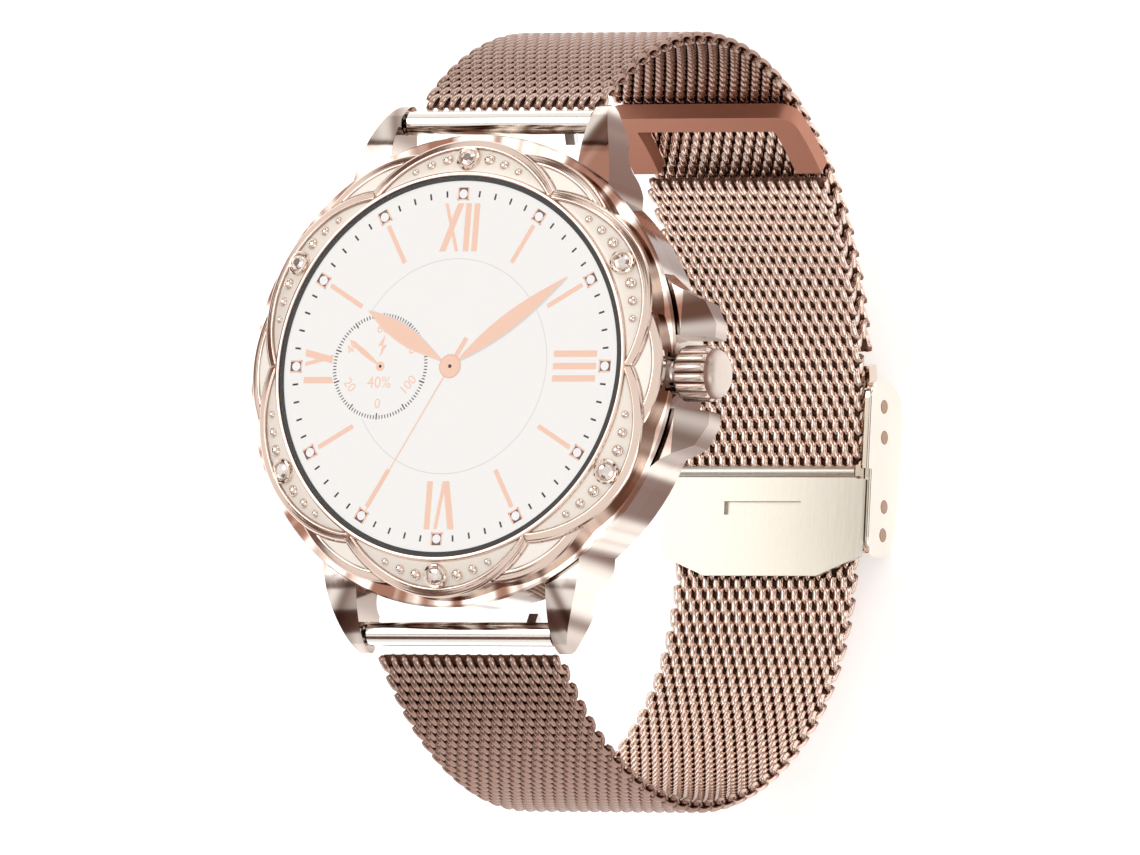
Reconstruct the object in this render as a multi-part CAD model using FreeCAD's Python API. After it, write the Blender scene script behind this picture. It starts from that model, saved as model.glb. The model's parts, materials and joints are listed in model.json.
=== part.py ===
import FreeCAD, Part
import math
import os

# Smartwatch on a woven mesh bracelet.  Millimetres.  The dial faces +Z, 12 o'clock is +Y and
# the crown is at +X.  The origin is the centre of the sensor window on the case back.

V = FreeCAD.Vector
X_AXIS = V(1, 0, 0)
Y_AXIS = V(0, 1, 0)
Z_AXIS = V(0, 0, 1)
SIDES = (1, -1)
FAR = 200.0

# ---- driving sizes of the case ----
case_radius = 20.2  # side wall at its top
case_draft = 0.5  # how much the wall narrows towards the back
cavity_radius = case_radius - 3.9
wall_top = 8.3
case_bottom = 1.8
flange_radius = case_radius + 0.5
flange_bottom = 8.7
flange_top = 9.3
shelf_inner_radius = cavity_radius - 1.1
shelf_bottom = 8.0
shelf_height = 0.5

# ---- display stack ----
glass_radius = cavity_radius + 0.3
glass_thickness = 0.6
display_radius = glass_radius - 0.65
display_thickness = 0.9
tray_thickness = 0.5
lip_outer_radius = glass_radius + 0.7
lip_height = 0.2
bezel_outer_radius = case_radius - 0.2
bezel_edge_height = 0.5
ledge_radius = glass_radius - 0.55
ledge_seal = 0.2
display_top = 11.4
petal_count = 12
notch_radius = 0.7
stone_orbit = case_radius - 2.0
stone_radius = 0.95
stone_count = 6

# ---- case back ----
back_radius = case_radius - 1.2
back_plate = 0.9
back_dome_radius = back_radius - 5.0
back_dome = 0.6
window_radius = 6.5
window_thickness = 1.0
back_screw_orbit = back_radius - 1.3
back_screw_radius = 0.55
back_screw_head = 0.95
back_screw_count = 4
screw_start = 45.0  # degrees from the crown
screw_hole_depth = 3.0
contact_radius = 0.8
contact_orbit = 10.6
led_height = 0.4
led_layout = ((0.0, 1.2, 1.0), (3.2, 0.6, 0.6), (-3.2, 0.6, 0.6))  # centre, half length, half width

# ---- inside ----
battery_size = (16.0, 14.0, 3.9)
battery_centre = (-2.5, 2.8)
motor_radius = 3.5
motor_height = 2.7
motor_centre = (-2.0, -10.0)
board_thickness = 0.7
board_radius = cavity_radius - 1.6
battery_corner = 0.8
bay_start = cavity_radius - 7.3  # cut-out for the crown's stem and switch
bay_half = 3.2
bay_depth = 2.6
chip_layout = (  # corner x and y, length, width, height
    (-5.0, -4.0, 8.0, 8.0, 0.9),
    (-11.0, 2.0, 4.0, 5.0, 0.8),
    (0.0, 6.0, 5.0, 4.0, 0.7),
    (-4.0, -11.0, 5.0, 4.0, 0.7),
    (4.0, -10.0, 4.0, 4.0, 0.6),
)
carrier_floor = 0.5

# ---- crown ----
crown_height = 7.3
crown_radius = 2.45
crown_length = 2.9
crown_cap_length = 1.1
crown_cap_radius = 2.2
crown_flutes = 15
flute_radius = 0.32
flute_lift = 0.12
crown_travel = 0.6
stem_radius = 0.6
tube_radius = 1.45
spot_face = case_radius - 0.2  # flat on the case that the crown tube's collar sits on
collar_thickness = 0.4
guard_reach = case_radius + 3.2
guard_below = 2.1
guard_height = 3.3
guard_gap = 0.75  # between the crown and each guard
guard_span = 7.0
guard_slope = 24.0  # degrees

# ---- lugs and spring bars ----
lug_gap = 18.5  # between the lugs, which sets the bracelet's width
lug_width = 1.75  # at the spring bar
lug_tip_width = 1.0
lug_root_width = 3.25
lug_root_y = case_radius - 5.2
lug_shoulder_y = case_radius - 1.2
lug_top = 8.6
lug_nose = 1.6  # how far the tip runs past the spring bar
lug_chin = 1.3  # how far below the spring bar the tip's underside is
bar_y = case_radius + 2.2
bar_z = 5.2
bar_tip_radius = 0.4
bar_tip_depth = 0.9
bar_radius = 0.75
end_tube_radius = 1.05
end_tube_bore = 0.82
lever_x = 6.5
release_travel = 1.2

# ---- bracelet and clasp ----
strap_width = lug_gap - 0.3
mesh_thickness = 1.4
layer_gap = 0.3
strap_bottom = -49.4  # lower strap's centre line under the dial's centre
clasp_tilt = 4.0
rest_height = strap_bottom - 4.7  # plane the closed clasp stands on
lower_run_out = -6.5  # where the lower strap leaves its straight run through the clasp
upper_run_in = 4.0  # where the upper strap's arc begins along the clasp
bend_radius = 21.5  # the lower strap's tighter bend beside the clasp
bend_end = -45.0  # degrees from straight down
hook_end_angle = 15.6  # upper strap's last point, round its arc from straight down
crimp_arc = 3.6
tail_end_angle = 53.0
tail_loop_arc = 15.0
tail_bar_width = 2.2
tail_leg_width = 2.5
tail_loop_thickness = 1.5

clasp_left = -6.7
clasp_right = 8.9
clasp_half_width = strap_width / 2 + 1.25
clasp_wall = 0.63
base_wall = 0.4
base_floor = 0.6
lock_left = -8.5
lock_right = 0.1
lock_half_width = strap_width / 2 + 0.8
lock_thickness = 0.5
lock_shoulder = -6.75
lock_tip_half_width = lock_half_width - 4.3
lock_slot = (7.6, 1.2)
lock_slot_u = -2.5
lock_hinge_u = 0.7
lock_knuckle = 0.5
lock_pin_radius = 0.25
cover_hinge = (-4.6, -1.9)
cover_pin_radius = 0.6
cover_floor_n = -3.8
cover_rivets = ((-2.1, -1.9), (4.0, -1.4), (6.7, -1.1))
crossbar = (4.0, -2.25)
crossbar_radius = 0.6
hook_half_width = strap_width / 2 - 1.6
hook_plate = 0.3
hook_root_u = 9.3  # where the hook plate has joined the crimp

# ---- clearances ----
running = 0.04
gap = 0.1
seat = 0.02
wide_gap = 0.2

shapes = {}


# ---- small helpers ----
def cyl(radius, height, base, axis=Z_AXIS):
    return Part.makeCylinder(radius, height, base, axis)


def tube(outer, inner, height, base, axis=Z_AXIS):
    """A pipe, its bore cut right through."""
    return cyl(outer, height, base, axis).cut(cyl(inner, height + 2, base - axis, axis))


def box(low, high):
    size = [b - a for a, b in zip(low, high)]
    return Part.makeBox(size[0], size[1], size[2], V(*low))


def fuse(solids):
    whole = solids[0]
    for other in solids[1:]:
        whole = whole.fuse(other)
    return whole.removeSplitter()


def cut(solid, tools):
    for tool in tools:
        solid = solid.cut(tool)
    return solid


def lathe(points):
    """Turn an outline of (radius, height) points about Z."""
    corners = [V(r, 0, z) for r, z in points]
    face = Part.Face(Part.makePolygon(corners + corners[:1]))
    return face.revolve(V(0, 0, 0), Z_AXIS, 360)


def lathe_x(points):
    """Turn an outline of (x, radius) points about the crown's axis."""
    corners = [V(x, 0, r) for x, r in points]
    face = Part.Face(Part.makePolygon(corners + corners[:1]))
    turned = face.revolve(V(0, 0, 0), X_AXIS, 360)
    turned.translate(V(0, 0, crown_height))
    return turned


def prism_x(points, low, high):
    """Extrude an outline of (y, z) points from x = low to x = high."""
    corners = [V(low, y, z) for y, z in points]
    return Part.Face(Part.makePolygon(corners + corners[:1])).extrude(V(high - low, 0, 0))


def mirrored(solid, normal):
    return solid.mirror(V(0, 0, 0), normal)


def ring_of(solid, count, start=0.0):
    """Copies of a solid turned evenly about Z."""
    copies = []
    for index in range(count):
        copy = solid.copy()
        copy.rotate(V(0, 0, 0), Z_AXIS, start + index * 360.0 / count)
        copies.append(copy)
    return copies


def round_edges(solid, radius, chosen):
    """Fillet the edges for which chosen(midpoint, edge) is true."""
    edges = [e for e in solid.Edges if chosen(e.valueAt((e.FirstParameter + e.LastParameter) / 2), e)]
    return solid.makeFillet(radius, edges)


def spring(wire_radius, coil_radius, length, turns, start):
    """A compressed spring along +X, its coils drawn as closed rings side by side."""
    step = (length - 2 * wire_radius) / (turns - 1)
    coils = []
    for index in range(turns):
        coil = Part.makeTorus(coil_radius, wire_radius, V(0, 0, 0), X_AXIS)
        coil.translate(start + X_AXIS * (wire_radius + index * step))
        coils.append(coil)
    return coils


def keep(name, *solids):
    """Register a node; several separate solids share it as one compound."""
    found = []
    for solid in solids:
        found += solid.Solids
    shapes[name] = found[0] if len(found) == 1 else Part.makeCompound(found)
    return shapes[name]


# ---- levels that follow from the sizes ----
case_back_z = case_bottom
glass_bottom = display_top
glass_top = glass_bottom + glass_thickness
ledge_z = glass_bottom - ledge_seal
lip_top = glass_top - lip_height * 2
display_bottom = display_top - display_thickness
tray_bottom = display_bottom - tray_thickness
shelf_top = shelf_bottom + shelf_height
carrier_top = shelf_bottom - gap / 2
back_inner = case_back_z
strap_half = strap_width / 2
lug_inner = lug_gap / 2
lug_outer = lug_inner + lug_root_width
half_mesh = mesh_thickness / 2
layer_step = mesh_thickness + layer_gap
crown_start = spot_face + collar_thickness * 2
crown_end = crown_start + crown_length


# ---- bracelet path ----
def clasp_point(u, n):
    """(y, z) of a point u along and n above the tilted clasp line."""
    t = math.radians(clasp_tilt)
    return (u * math.cos(t) - n * math.sin(t), strap_bottom + u * math.sin(t) + n * math.cos(t))


def arc_through(target, touch):
    """Circle that touches the clasp line's direction at one point and passes through another."""
    t = math.radians(clasp_tilt)
    dy = target[0] - touch[0]
    dz = target[1] - touch[1]
    rise = -dy * math.sin(t) + dz * math.cos(t)
    radius = (dy * dy + dz * dz) / (2 * rise)
    return (touch[0] - radius * math.sin(t), touch[1] + radius * math.cos(t), radius)


def arc_onward(first, degrees, target):
    """Circle that carries on from another at an angle round it and passes through a point."""
    a = math.radians(degrees)
    wy = target[0] - first[0]
    wz = target[1] - first[1]
    along = wy * math.sin(a) - wz * math.cos(a)
    radius = (wy * wy + wz * wz - 2 * first[2] * along + first[2] ** 2) / (2 * (first[2] - along))
    shift = first[2] - radius
    return (first[0] + shift * math.sin(a), first[1] - shift * math.cos(a), radius)


def on_arc(arc, radius, degrees):
    """Point at an angle from straight down, positive towards +Y."""
    a = math.radians(degrees)
    return V(0, arc[0] + radius * math.sin(a), arc[1] - radius * math.cos(a))


def arc_edge(arc, radius, start, end):
    middle = on_arc(arc, radius, (start + end) / 2)
    return Part.Arc(on_arc(arc, radius, start), middle, on_arc(arc, radius, end)).toShape()


def band(arc, start, end, thickness, width, lift=0.0):
    """A strip of the bracelet round an arc, its middle lifted inwards."""
    outer = arc[2] - lift + thickness / 2
    inner = arc[2] - lift - thickness / 2
    edges = [
        arc_edge(arc, outer, start, end),
        Part.makeLine(on_arc(arc, outer, end), on_arc(arc, inner, end)),
        arc_edge(arc, inner, end, start),
        Part.makeLine(on_arc(arc, inner, start), on_arc(arc, outer, start)),
    ]
    strip = Part.Face(Part.Wire(edges)).extrude(V(width, 0, 0))
    strip.translate(V(-width / 2, 0, 0))
    return strip


def placed(solid, y, z, degrees):
    """Move a solid drawn flat at the origin to a point and slope of the bracelet."""
    moved = solid.copy()
    moved.Placement = FreeCAD.Placement(V(0, y, z), FreeCAD.Rotation(X_AXIS, degrees))
    return moved


def in_clasp(solid):
    return placed(solid, 0, strap_bottom, clasp_tilt)


def clasp_box(x, u, n):
    return box((-x, u[0], n[0]), (x, u[1], n[1]))


def across(radius, half_length, u, n):
    return cyl(radius, 2 * half_length, V(-half_length, u, n), X_AXIS)


def arc_angle(arc, point):
    return math.degrees(math.atan2(point[0] - arc[0], arc[1] - point[1]))


bend_centre = clasp_point(lower_run_out, bend_radius)
bend_arc = (bend_centre[0], bend_centre[1], bend_radius)
lower_arc = arc_onward(bend_arc, bend_end, (-bar_y, bar_z))
upper_arc = arc_through((bar_y, bar_z), clasp_point(upper_run_in, -layer_step))
tail_arc = (upper_arc[0], upper_arc[1], upper_arc[2] - layer_step)


# ---- case ----
def lug():
    """One lug at +X, +Y: a sloping ridge on top, an S-shaped underside, drawn in to its tip."""
    foot_z = case_bottom + gap
    nose_y = bar_y + lug_nose
    tip = V(0, nose_y, bar_z - 0.5)
    shoulder = V(0, lug_shoulder_y, lug_top - 0.45)
    chin = V(0, nose_y - 0.55, bar_z - lug_chin)
    heel = V(0, bar_y - 1.8, bar_z - lug_chin - 0.4)
    knee = V(0, bar_y - 4.5, bar_z - lug_chin - 0.5)
    root_low = V(0, cavity_radius, foot_z)
    inner_low = V(0, lug_root_y, foot_z)
    inner_top = V(0, lug_root_y, lug_top)
    ridge = Part.BSplineCurve()
    slope = [V(0, bar_y - 1.0, lug_top - 1.25), V(0, bar_y + 0.9, bar_z + 0.8)]
    ridge.interpolate([inner_top, shoulder] + slope + [tip])
    hollow = Part.Arc(heel, (heel + knee) * 0.5 + Z_AXIS * 0.85, knee)
    foot = Part.Arc(knee, (knee + root_low) * 0.5 + V(0, 0.1, -0.1), root_low)
    nose = Part.Arc(tip, V(0, nose_y - 0.1, bar_z - 1.0), chin)
    edges = [ridge.toShape(), nose.toShape(), Part.makeLine(chin, heel), hollow.toShape(), foot.toShape()]
    edges += [Part.makeLine(root_low, inner_low), Part.makeLine(inner_low, inner_top)]
    solid = Part.Face(Part.Wire(edges)).extrude(V(lug_outer, 0, 0))
    root_x = lug_inner + lug_root_width
    side = Part.BSplineCurve()
    plan = [(root_x, lug_root_y), (root_x - 0.35, lug_shoulder_y), (lug_inner + lug_width, bar_y)]
    plan.append((lug_inner + lug_tip_width, nose_y))
    side.interpolate([V(x, y, 0) for x, y in plan])
    past = nose_y + 1
    corners = [plan[-1], (plan[-1][0], past), (lug_inner, past), (lug_inner, lug_root_y), plan[0]]
    rim = Part.makePolygon([V(x, y, 0) for x, y in corners])
    column = Part.Face(Part.Wire([side.toShape()] + rim.Edges)).extrude(V(0, 0, flange_top + 1))
    return solid.common(column)


def crown_guard():
    """A wedge shoulder beside the crown at +Y, its outer end cut back on a slope."""
    near = crown_radius + guard_gap
    low = crown_height - guard_below
    corners = [
        (cavity_radius, near + guard_span),
        (case_radius - 0.6, near + guard_span - 2.6),
        (guard_reach - 1.0, near + 3.1),
        (guard_reach, near + 1.2),
        (guard_reach, near),
        (cavity_radius + 1.2, near),
    ]
    points = [V(x, y, low) for x, y in corners]
    wedge = Part.Face(Part.makePolygon(points + points[:1])).extrude(V(0, 0, guard_height))
    slope = Part.makeBox(2 * guard_span, 3 * guard_span, guard_height)
    slope.rotate(V(0, 0, 0), Y_AXIS, guard_slope)
    slope.translate(V(case_radius + 0.4, -guard_span, low + guard_height))
    return wedge.cut(slope)


def mid_case():
    outline = [
        (cavity_radius, case_bottom),
        (case_radius - case_draft, case_bottom),
        (case_radius - case_draft / 2, (case_bottom + wall_top) / 2),
        (case_radius, wall_top - 0.6),
        (case_radius - 0.15, wall_top),
        (case_radius - 0.15, flange_bottom),
        (flange_radius - 0.15, flange_bottom),
        (flange_radius, (flange_bottom + flange_top) / 2),
        (flange_radius - 0.15, flange_top),
        (cavity_radius, flange_top),
        (cavity_radius, shelf_top),
        (shelf_inner_radius, shelf_top),
        (shelf_inner_radius, shelf_bottom),
        (cavity_radius, shelf_bottom),
    ]
    lugs = [lug()]
    lugs.append(mirrored(lugs[0], X_AXIS))
    lugs += [mirrored(lugs[0], Y_AXIS), mirrored(lugs[1], Y_AXIS)]
    guards = [crown_guard(), mirrored(crown_guard(), Y_AXIS)]
    body = fuse([lathe(outline)] + lugs + guards)
    reach = lug_outer * 2 + 4
    tools = [cyl(cavity_radius, shelf_bottom - case_bottom + 1, V(0, 0, case_bottom - 1))]
    for side in SIDES:
        tools.append(bar_holes(side * bar_y))
    tools.append(cyl(crown_radius + 0.25, reach, V(spot_face, 0, crown_height), X_AXIS))
    tools.append(cyl(tube_radius + seat, case_radius, V(cavity_radius - 2, 0, crown_height), X_AXIS))
    hole = cyl(back_screw_radius, screw_hole_depth, V(back_screw_orbit, 0, case_bottom - gap))
    tools += ring_of(hole, back_screw_count, screw_start)
    return cut(body, tools)


def bar_holes(y):
    """The four blind holes are cut in pairs, so that each lug's outer face stays whole."""
    length = lug_gap + 2 * (bar_tip_depth + 0.25)
    return cyl(bar_tip_radius + running, length, V(-length / 2, y, bar_z), X_AXIS)


def bezel():
    """The ring round the glass: a flat lip, then a sloping band with a scalloped outline."""
    edge_top = flange_top + bezel_edge_height
    outline = [
        (ledge_radius, flange_top),
        (bezel_outer_radius, flange_top),
        (bezel_outer_radius, edge_top),
        (lip_outer_radius, lip_top - 0.3),
        (lip_outer_radius - 0.12, lip_top),
        (glass_radius + 0.2, lip_top),
        (glass_radius + 0.05, lip_top - 0.1),
        (glass_radius + 0.05, ledge_z),
        (ledge_radius, ledge_z),
    ]
    ring = lathe(outline)
    notch = cyl(notch_radius, 4, V(bezel_outer_radius + notch_radius * 0.55, 0, flange_top - 1))
    notches = ring_of(notch, petal_count, 360.0 / petal_count / 2)
    seats = [cyl(stone_radius + seat, 3, V(stone_orbit, 0, stone_base()))]
    return cut(ring, notches + ring_of(seats[0], stone_count, 30))


def stone_base():
    """Height of the flat that a bezel stone's setting sits on."""
    edge_top = flange_top + bezel_edge_height
    share = (bezel_outer_radius - stone_orbit) / (bezel_outer_radius - lip_outer_radius)
    return edge_top + share * (lip_top - 0.3 - edge_top) - 0.45


def stones():
    """Round cut stones: a girdle, a sloping crown with a table, and a point below."""
    base = stone_base() + 0.25
    girdle = stone_radius - 0.28
    pavilion = Part.makeCone(0.1, girdle, 0.45, V(stone_orbit, 0, base))
    crown_part = Part.makeCone(girdle, 0.4, 0.25, V(stone_orbit, 0, base + 0.45))
    return ring_of(fuse([pavilion, crown_part]), stone_count, 30)


def settings():
    """Cups that hold the bezel stones, let into the bezel."""
    cup = cyl(stone_radius, 0.7, V(stone_orbit, 0, stone_base()))
    hollow = Part.makeCone(0.1, stone_radius - 0.28, 0.45, V(stone_orbit, 0, stone_base() + 0.25))
    return ring_of(cup.cut(hollow), stone_count, 30)


keep("mid_case", mid_case())
keep("bezel_ring", bezel())
keep("stone_settings", *settings())
keep("bezel_stones", *stones())

crystal = cyl(glass_radius, glass_thickness, V(0, 0, glass_bottom))
keep("crystal", crystal.makeChamfer(0.15, [e for e in crystal.Edges if e.CenterOfMass.z > glass_top - seat]))
keep("crystal_gasket", tube(glass_radius, ledge_radius + seat, ledge_seal, V(0, 0, ledge_z)))
keep("display_panel", cyl(display_radius, display_thickness, V(0, 0, display_bottom)))
skirt_radius = display_radius - gap
display_tray = cyl(skirt_radius, tray_thickness, V(0, 0, tray_bottom))
skirt = tube(skirt_radius, shelf_inner_radius + 0.2, tray_bottom - shelf_top, V(0, 0, shelf_top))
keep("display_tray", fuse([display_tray, skirt]))


# ---- case back and its sensor ----
def back_screws():
    base = V(back_screw_orbit, 0, 0)
    head_z = case_back_z - back_plate + 0.1
    head = cyl(back_screw_head, 0.45, base + V(0, 0, head_z))
    shank = cyl(back_screw_radius - seat, 2.6, base + V(0, 0, head_z + 0.45))
    slot = box((back_screw_orbit - 2, -0.12, head_z - 1), (back_screw_orbit + 2, 0.12, head_z + 0.2))
    return ring_of(fuse([head, shank]).cut(slot), back_screw_count, screw_start)


def case_back():
    outline = [
        (0, back_dome * 0.5),
        (back_dome_radius - 1.5, back_dome * 0.5),
        (back_dome_radius, back_dome + 0.3),
        (back_radius, back_dome + 0.3),
        (back_radius, back_inner),
        (cavity_radius - gap, back_inner),
        (cavity_radius - gap, back_inner + 0.9),
        (cavity_radius - 1.2, back_inner + 0.9),
        (cavity_radius - 1.2, back_inner),
        (0, back_inner),
    ]
    plate = lathe(outline)
    groove = tube(cavity_radius, cavity_radius - 0.5, 0.6, V(0, 0, back_inner + 0.15))
    step = cyl(window_radius - 1.0, FAR, V(0, 0, -1))
    seat_cut = cyl(window_radius + seat, window_thickness + 1, V(0, 0, -1))
    head = cyl(back_screw_head + gap / 2, 1.45, V(back_screw_orbit, 0, case_back_z - back_plate - 0.9))
    head_z = case_back_z - back_plate + 0.55
    hole = cyl(back_screw_radius + 0.03, 3, V(back_screw_orbit, 0, head_z - 1))
    tools = [groove, step, seat_cut]
    tools += ring_of(head, back_screw_count, screw_start) + ring_of(hole, back_screw_count, screw_start)
    tools += [cyl(contact_radius + seat, 4, p) for p in contact_places(-1)]
    return cut(plate, tools)


def contact_places(z):
    return [V(side * contact_orbit * 0.3, -contact_orbit, z) for side in SIDES]


keep("case_back", case_back())
keep("case_back_screws", *back_screws())
back_seal = Part.makeTorus(cavity_radius - 0.25, 0.22, V(0, 0, back_inner + 0.45))
keep("back_gasket", back_seal)
keep("sensor_window", cyl(window_radius, window_thickness, V(0, 0, 0)))
contact_height = back_inner + 0.4 - back_dome * 0.5
keep("charging_contacts", *[cyl(contact_radius, contact_height, p) for p in contact_places(back_dome * 0.5)])

sensor_top = window_thickness + led_height + gap
sensor_parts = []
for x, half_x, half_y in led_layout:
    sensor_parts.append(box((x - half_x, -half_y, sensor_top - led_height), (x + half_x, half_y, sensor_top)))
keep("sensor_leds", *sensor_parts)
keep("sensor_board", cyl(window_radius - 1.0 - gap, 0.5, V(0, 0, sensor_top)))


# ---- inner carrier, battery, motor and boards ----
def carrier():
    bottom = back_inner + 0.95
    body = cyl(cavity_radius - 0.15, carrier_top - bottom, V(0, 0, bottom))
    bx, by, bz = battery_size
    cx, cy = battery_centre
    half_x = bx / 2 + gap
    half_y = by / 2 + gap
    pocket = box((cx - half_x, cy - half_y, bottom + carrier_floor), (cx + half_x, cy + half_y, wall_top))
    motor = cyl(motor_radius + gap, wall_top, V(*motor_centre, carrier_top - motor_height - wide_gap))
    crown_bay = box((bay_start, -bay_half, crown_height - bay_depth), (case_radius, bay_half, wall_top))
    return cut(body, [pocket, motor, crown_bay])


battery_floor = back_inner + 0.95 + carrier_floor
battery_low = [centre - size / 2 for centre, size in zip(battery_centre, battery_size)] + [battery_floor]
battery_high = tuple(low + size for low, size in zip(battery_low, battery_size))
upright = lambda p, e: abs(e.tangentAt(e.FirstParameter).z) > 0.9
keep("battery", round_edges(box(battery_low, battery_high), battery_corner, upright))
motor_bottom = carrier_top - motor_height - wide_gap
keep("vibration_motor", cyl(motor_radius, motor_height, V(motor_centre[0], motor_centre[1], motor_bottom)))
keep("inner_carrier", carrier())

board_bottom = carrier_top
board_top = board_bottom + board_thickness
board_bay = box((bay_start, -bay_half, board_bottom - 1), (case_radius, bay_half, board_top + 1))
keep("main_board", cyl(board_radius, board_thickness, V(0, 0, board_bottom)).cut(board_bay))
chips = []
for x, y, length, width, height in chip_layout:
    chips.append(box((x, y, board_top), (x + length, y + width, board_top + height)))
keep("board_chips", *chips)


# ---- crown ----
def crown_body():
    """A fluted barrel, hollow where it runs over the crown tube."""
    barrel = lathe_x([
        (crown_start, 0),
        (crown_start, crown_radius - 0.15),
        (crown_start + 0.15, crown_radius),
        (crown_end - 0.15, crown_radius),
        (crown_end, crown_radius - 0.15),
        (crown_end, 0),
    ])
    flute_axis = V(crown_start - 1, 0, crown_height + crown_radius + flute_lift)
    flute = cyl(flute_radius, crown_length + 2, flute_axis, X_AXIS)
    tools = []
    for index in range(crown_flutes):
        copy = flute.copy()
        copy.rotate(V(0, 0, crown_height), X_AXIS, index * 360.0 / crown_flutes)
        tools.append(copy)
    tools.append(cyl(1.85, hollow_end() - crown_start + 1, V(crown_start - 1, 0, crown_height), X_AXIS))
    tools.append(cyl(stem_radius, 0.5, V(hollow_end() - seat, 0, crown_height), X_AXIS))
    tools.append(cyl(1.2, 1, V(crown_end - 0.4, 0, crown_height), X_AXIS))
    return cut(barrel, tools)


def hollow_end():
    return tube_end() + crown_travel + wide_gap


def tube_end():
    return spot_face + collar_thickness + 1.4


def cap_body():
    end = crown_end + crown_cap_length
    return lathe_x([
        (crown_end - 0.4, 0),
        (crown_end - 0.4, 1.2 - seat),
        (crown_end, 1.2 - seat),
        (crown_end, crown_cap_radius),
        (crown_end + 0.3, crown_cap_radius),
        (crown_end + 0.65, crown_cap_radius - 0.25),
        (crown_end + 0.9, crown_cap_radius - 0.7),
        (end, crown_cap_radius - 1.4),
        (end, 0),
    ])


def stem_body():
    seal_x = spot_face - 1.6
    outline = [
        (stem_start, 0),
        (stem_start, stem_radius),
        (clip_x, stem_radius),
        (clip_x, stem_radius - 0.2),
        (clip_x + clip_thickness, stem_radius - 0.2),
        (clip_x + clip_thickness, stem_radius),
        (seal_x, stem_radius),
        (seal_x, stem_radius - 0.2),
        (seal_x + 0.6, stem_radius - 0.2),
        (seal_x + 0.6, stem_radius),
        (hollow_end() + 0.45, stem_radius),
        (hollow_end() + 0.45, 0),
    ]
    return lathe_x(outline)


switch_face = cavity_radius - 3.1
stem_start = switch_face + 1.0
clip_thickness = 0.3
collar_length = 0.9
collar_x = stem_start
clip_x = collar_x + collar_length + 0.05
tube_bore = stem_radius + 0.42
axis_point = V(0, 0, crown_height)
keep("crown", crown_body())
keep("crown_cap", cap_body())
keep("crown_stem", stem_body())
keep("stem_clip", tube(1.0, stem_radius - 0.2, clip_thickness, axis_point + X_AXIS * clip_x, X_AXIS))
seal = Part.makeTorus(stem_radius - 0.2 + 0.27, 0.26, V(0, 0, 0), X_AXIS)
seal.translate(axis_point + X_AXIS * (spot_face - 1.3))
keep("crown_seal", seal)
tube_inner = cavity_radius + 0.4
crown_tube_body = fuse([
    cyl(tube_radius, tube_end() - tube_inner, axis_point + X_AXIS * tube_inner, X_AXIS),
    cyl(1.75, collar_thickness, axis_point + X_AXIS * spot_face, X_AXIS),
])
bore_tool = cyl(tube_bore, FAR, axis_point + X_AXIS * bay_start, X_AXIS)
keep("crown_tube", crown_tube_body.cut(bore_tool))
collar = tube(1.5, stem_radius + running, collar_length, axis_point + X_AXIS * collar_x, X_AXIS)
keep("stem_collar", collar)
button = cyl(0.5, stem_start - seat - (switch_face - 0.2), axis_point + X_AXIS * (switch_face - 0.2), X_AXIS)
bridge = tube(1.5, 0.45, 0.25, axis_point + X_AXIS * (collar_x - 0.25 - seat), X_AXIS)
keep("switch_button", fuse([button, bridge]))
switch_low = (switch_face - 3.2, -2.2, crown_height - 1.6)
switch_high = (switch_face, 2.2, crown_height + 1.5)
switch_bore = cyl(0.55, 1.2, axis_point + X_AXIS * (switch_face - 1.0), X_AXIS)
keep("crown_switch", box(switch_low, switch_high).cut(switch_bore))
spring_start = spot_face + 0.1
spring_length = tube_end() - spring_start - wide_gap
keep("crown_spring", *spring(0.1, stem_radius + 0.22, spring_length, 6, axis_point + X_AXIS * spring_start))


# ---- strap ends with quick-release spring bars ----
def end_tube(side):
    """Tube crimped on the mesh's end, with a slot for the release lever."""
    y = side * bar_y
    length = strap_width - 0.2
    pipe = tube(end_tube_radius, end_tube_bore, length, V(-length / 2, y, bar_z), X_AXIS)
    return pipe.cut(lever_slot(side, 0.0, end_tube_radius + 1))


def lever_slot(side, spare, reach):
    y = side * bar_y
    slot = box((lever_x - release_travel - 0.65 - spare, 0, -0.6), (lever_x + 0.65 + spare, reach, 0.6))
    slot.rotate(V(0, 0, 0), X_AXIS, 180 + 25 if side > 0 else -25)
    slot.translate(V(0, y, bar_z))
    return slot


def spring_bar(side):
    """Hollow bar with one fixed tip, the other end open for the sliding tip."""
    y = side * bar_y
    half = strap_half - 0.35
    body = cyl(bar_radius, 2 * half, V(-half, y, bar_z), X_AXIS)
    tip_end = lug_inner + bar_tip_depth
    tip = cyl(bar_tip_radius, tip_end - half, V(-tip_end, y, bar_z), X_AXIS)
    bore = cyl(0.5, half + 1.5, V(-1.5, y, bar_z), X_AXIS)
    return cut(fuse([body, tip]), [bore, lever_slot(side, 0.0, bar_radius + 1)])


def sliding_tip(side):
    """The sliding tip and the lever that draws it back."""
    y = side * bar_y
    tip = cyl(bar_tip_radius, lug_inner + bar_tip_depth - 3.0, V(3.0, y, bar_z), X_AXIS)
    guide = cyl(0.5 - running, 2.5, V(4.7, y, bar_z), X_AXIS)
    lever = box((lever_x - 0.45, 0.1, -0.4), (lever_x + 0.45, 1.9, 0.4))
    lever.rotate(V(0, 0, 0), X_AXIS, 180 + 25 if side > 0 else -25)
    lever.translate(V(0, y, bar_z))
    return fuse([tip, guide, lever])


for name, side in (("upper", 1), ("lower", -1)):
    keep(name + "_end_tube", end_tube(side))
    keep(name + "_spring_bar", spring_bar(side))
    keep(name + "_release_lever", sliding_tip(side))
    keep(name + "_bar_spring", *spring(0.08, 0.36, 3.0, 12, V(-1.35, side * bar_y, bar_z)))


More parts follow.
